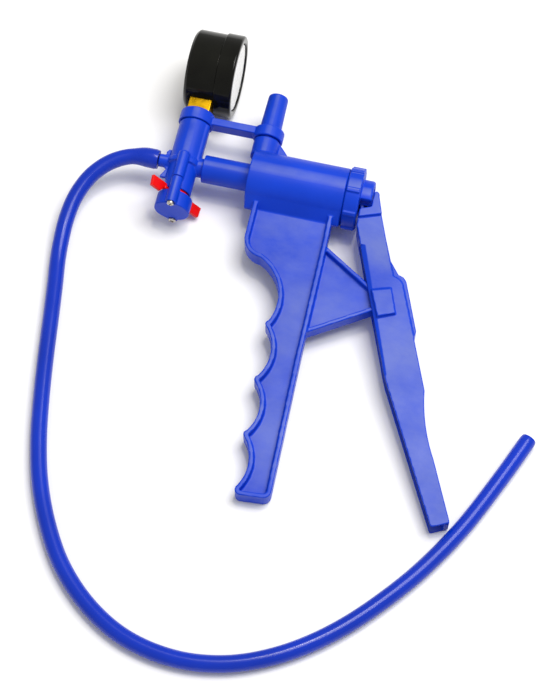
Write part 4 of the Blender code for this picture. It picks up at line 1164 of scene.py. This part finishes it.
def smooth_route(route, spacing):
    """Evenly spaced points on the smooth curve through the route's own points."""
    dense = []
    for number in range(len(route) - 1):
        before = Vector(route[max(number - 1, 0)])
        start = Vector(route[number])
        end = Vector(route[number + 1])
        after = Vector(route[min(number + 2, len(route) - 1)])
        for step in range(20):
            t = step / 20
            bend = (2.0 * before - 5.0 * start + 4.0 * end - after) * t * t
            twist = (3.0 * start - before - 3.0 * end + after) * t * t * t
            dense.append((2.0 * start + (end - before) * t + bend + twist) / 2.0)
    dense.append(Vector(route[-1]))
    lengths = [0.0]
    for one, two in zip(dense, dense[1:]):
        lengths.append(lengths[-1] + (two - one).length)
    count = round(lengths[-1] / spacing) + 1
    points = []
    place = 0
    for step in range(count):
        wanted = lengths[-1] * step / (count - 1)
        while place < len(dense) - 2 and lengths[place + 1] < wanted:
            place += 1
        share = (wanted - lengths[place]) / (lengths[place + 1] - lengths[place])
        points.append(dense[place].lerp(dense[place + 1], share))
    return points


def stretch(along):
    """How far the hose's outside is stretched over the nipple, at a distance from the hose's start."""
    if along < STRETCH_LENGTH:
        return STRETCH
    fade = min((along - STRETCH_LENGTH) / STRETCH_FADE, 1.0)
    return STRETCH * (1.0 - fade) ** 2 * (1.0 + 2.0 * fade)


def make_hose(vinyl):
    """A hollow tube along the route: the outside one way, the bore back, and a flat ring at each end."""
    start = (HOSE_START_X + FRAME_SHIFT.x / MM, FRAME_SHIFT.y / MM, FRAME_SHIFT.z / MM)
    path = smooth_route([start] + HOSE_ROUTE, HOSE_SPACING)
    shape = bmesh.new()
    loops = []
    aside = Vector((0.0, 0.0, 1.0))
    frames = []
    for number, point in enumerate(path):
        ahead = path[min(number + 1, len(path) - 1)] - path[max(number - 1, 0)]
        ahead.normalize()
        aside = (aside - ahead * aside.dot(ahead)).normalized()
        frames.append((point, aside.copy(), ahead.cross(aside)))
    for radius, order in ((HOSE_R, frames), (HOSE_BORE_R, frames[::-1])):
        last = len(order) - 1
        for number, (point, one, two) in enumerate(order):
            size = radius
            if radius == HOSE_R:
                size = HOSE_R + stretch(number * HOSE_SPACING)
                if number in (0, last):
                    size -= HOSE_END_ROUND
            loop = []
            for side in range(HOSE_SIDES):
                angle = 2.0 * math.pi * side / HOSE_SIDES
                spot = point + one * (size * math.cos(angle)) + two * (size * math.sin(angle))
                loop.append(shape.verts.new(spot))
            loops.append(loop)
    join_loops(shape, zip(loops, loops[1:] + loops[:1]))
    bmesh.ops.recalc_face_normals(shape, faces=shape.faces)
    bmesh.ops.scale(shape, verts=shape.verts, vec=(MM, MM, MM))
    tube = new_object("hose_tube", shape)
    finish_piece(tube, vinyl, "pump", ["vacuum_hose"], 50.0)


# ---- The CAD's own inner pieces ----


def dress_inner(blue, rubber, steel, brass):
    """Gives the inner pieces, which keep their CAD shape, their materials."""
    looks = {
        "piston": blue,
        "piston_rod": blue,
        "piston_seal": rubber,
        "piston_screw": steel,
        "rod_pin": steel,
        "pivot_pin": steel,
        "manifold_o_ring": rubber,
        "rotor_seal": rubber,
        "inlet_check_valve": rubber,
        "exhaust_check_valve": rubber,
        "bourdon_tube": brass,
        "gauge_movement": brass,
    }
    for name, material in looks.items():
        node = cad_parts[name]
        node.data.materials.clear()
        node.data.materials.append(material)
        node.data.shade_smooth()
        node.data.set_sharp_from_angle(angle=math.radians(35.0))


def main():
    make_camera()
    make_studio()
    blue = moulded("blue_plastic", BLUE, BLUE_DUST_AND_SHEEN)
    red = moulded("red_plastic", RED, RED_DUST_AND_SHEEN)
    vinyl = hose_vinyl()
    black = gloss_black()
    rubber = rubber_black()
    steel = metal("plated_steel", STEEL, rough=0.28, scale=420.0, grain=0.00003)
    brass = metal("brass", BRASS, rough=0.3, scale=300.0, grain=0.00004)
    white = dial_paint()
    lens = lens_plastic()
    make_hose(vinyl)
    make_body(blue)
    make_end_cap(blue)
    make_nozzle(blue)
    make_spring(steel)
    make_lever(blue)
    make_manifold(blue)
    make_housing(blue)
    make_screw("screw_upper", SCREW_Z, steel, "housing_screw_upper", 0.4)
    make_screw("screw_lower", -SCREW_Z, steel, "housing_screw_lower", 1.1)
    make_rotor(red)
    make_strap(blue)
    make_gauge(black, lens, white, black)
    make_stem(brass)
    dress_inner(blue, rubber, steel, brass)


main()
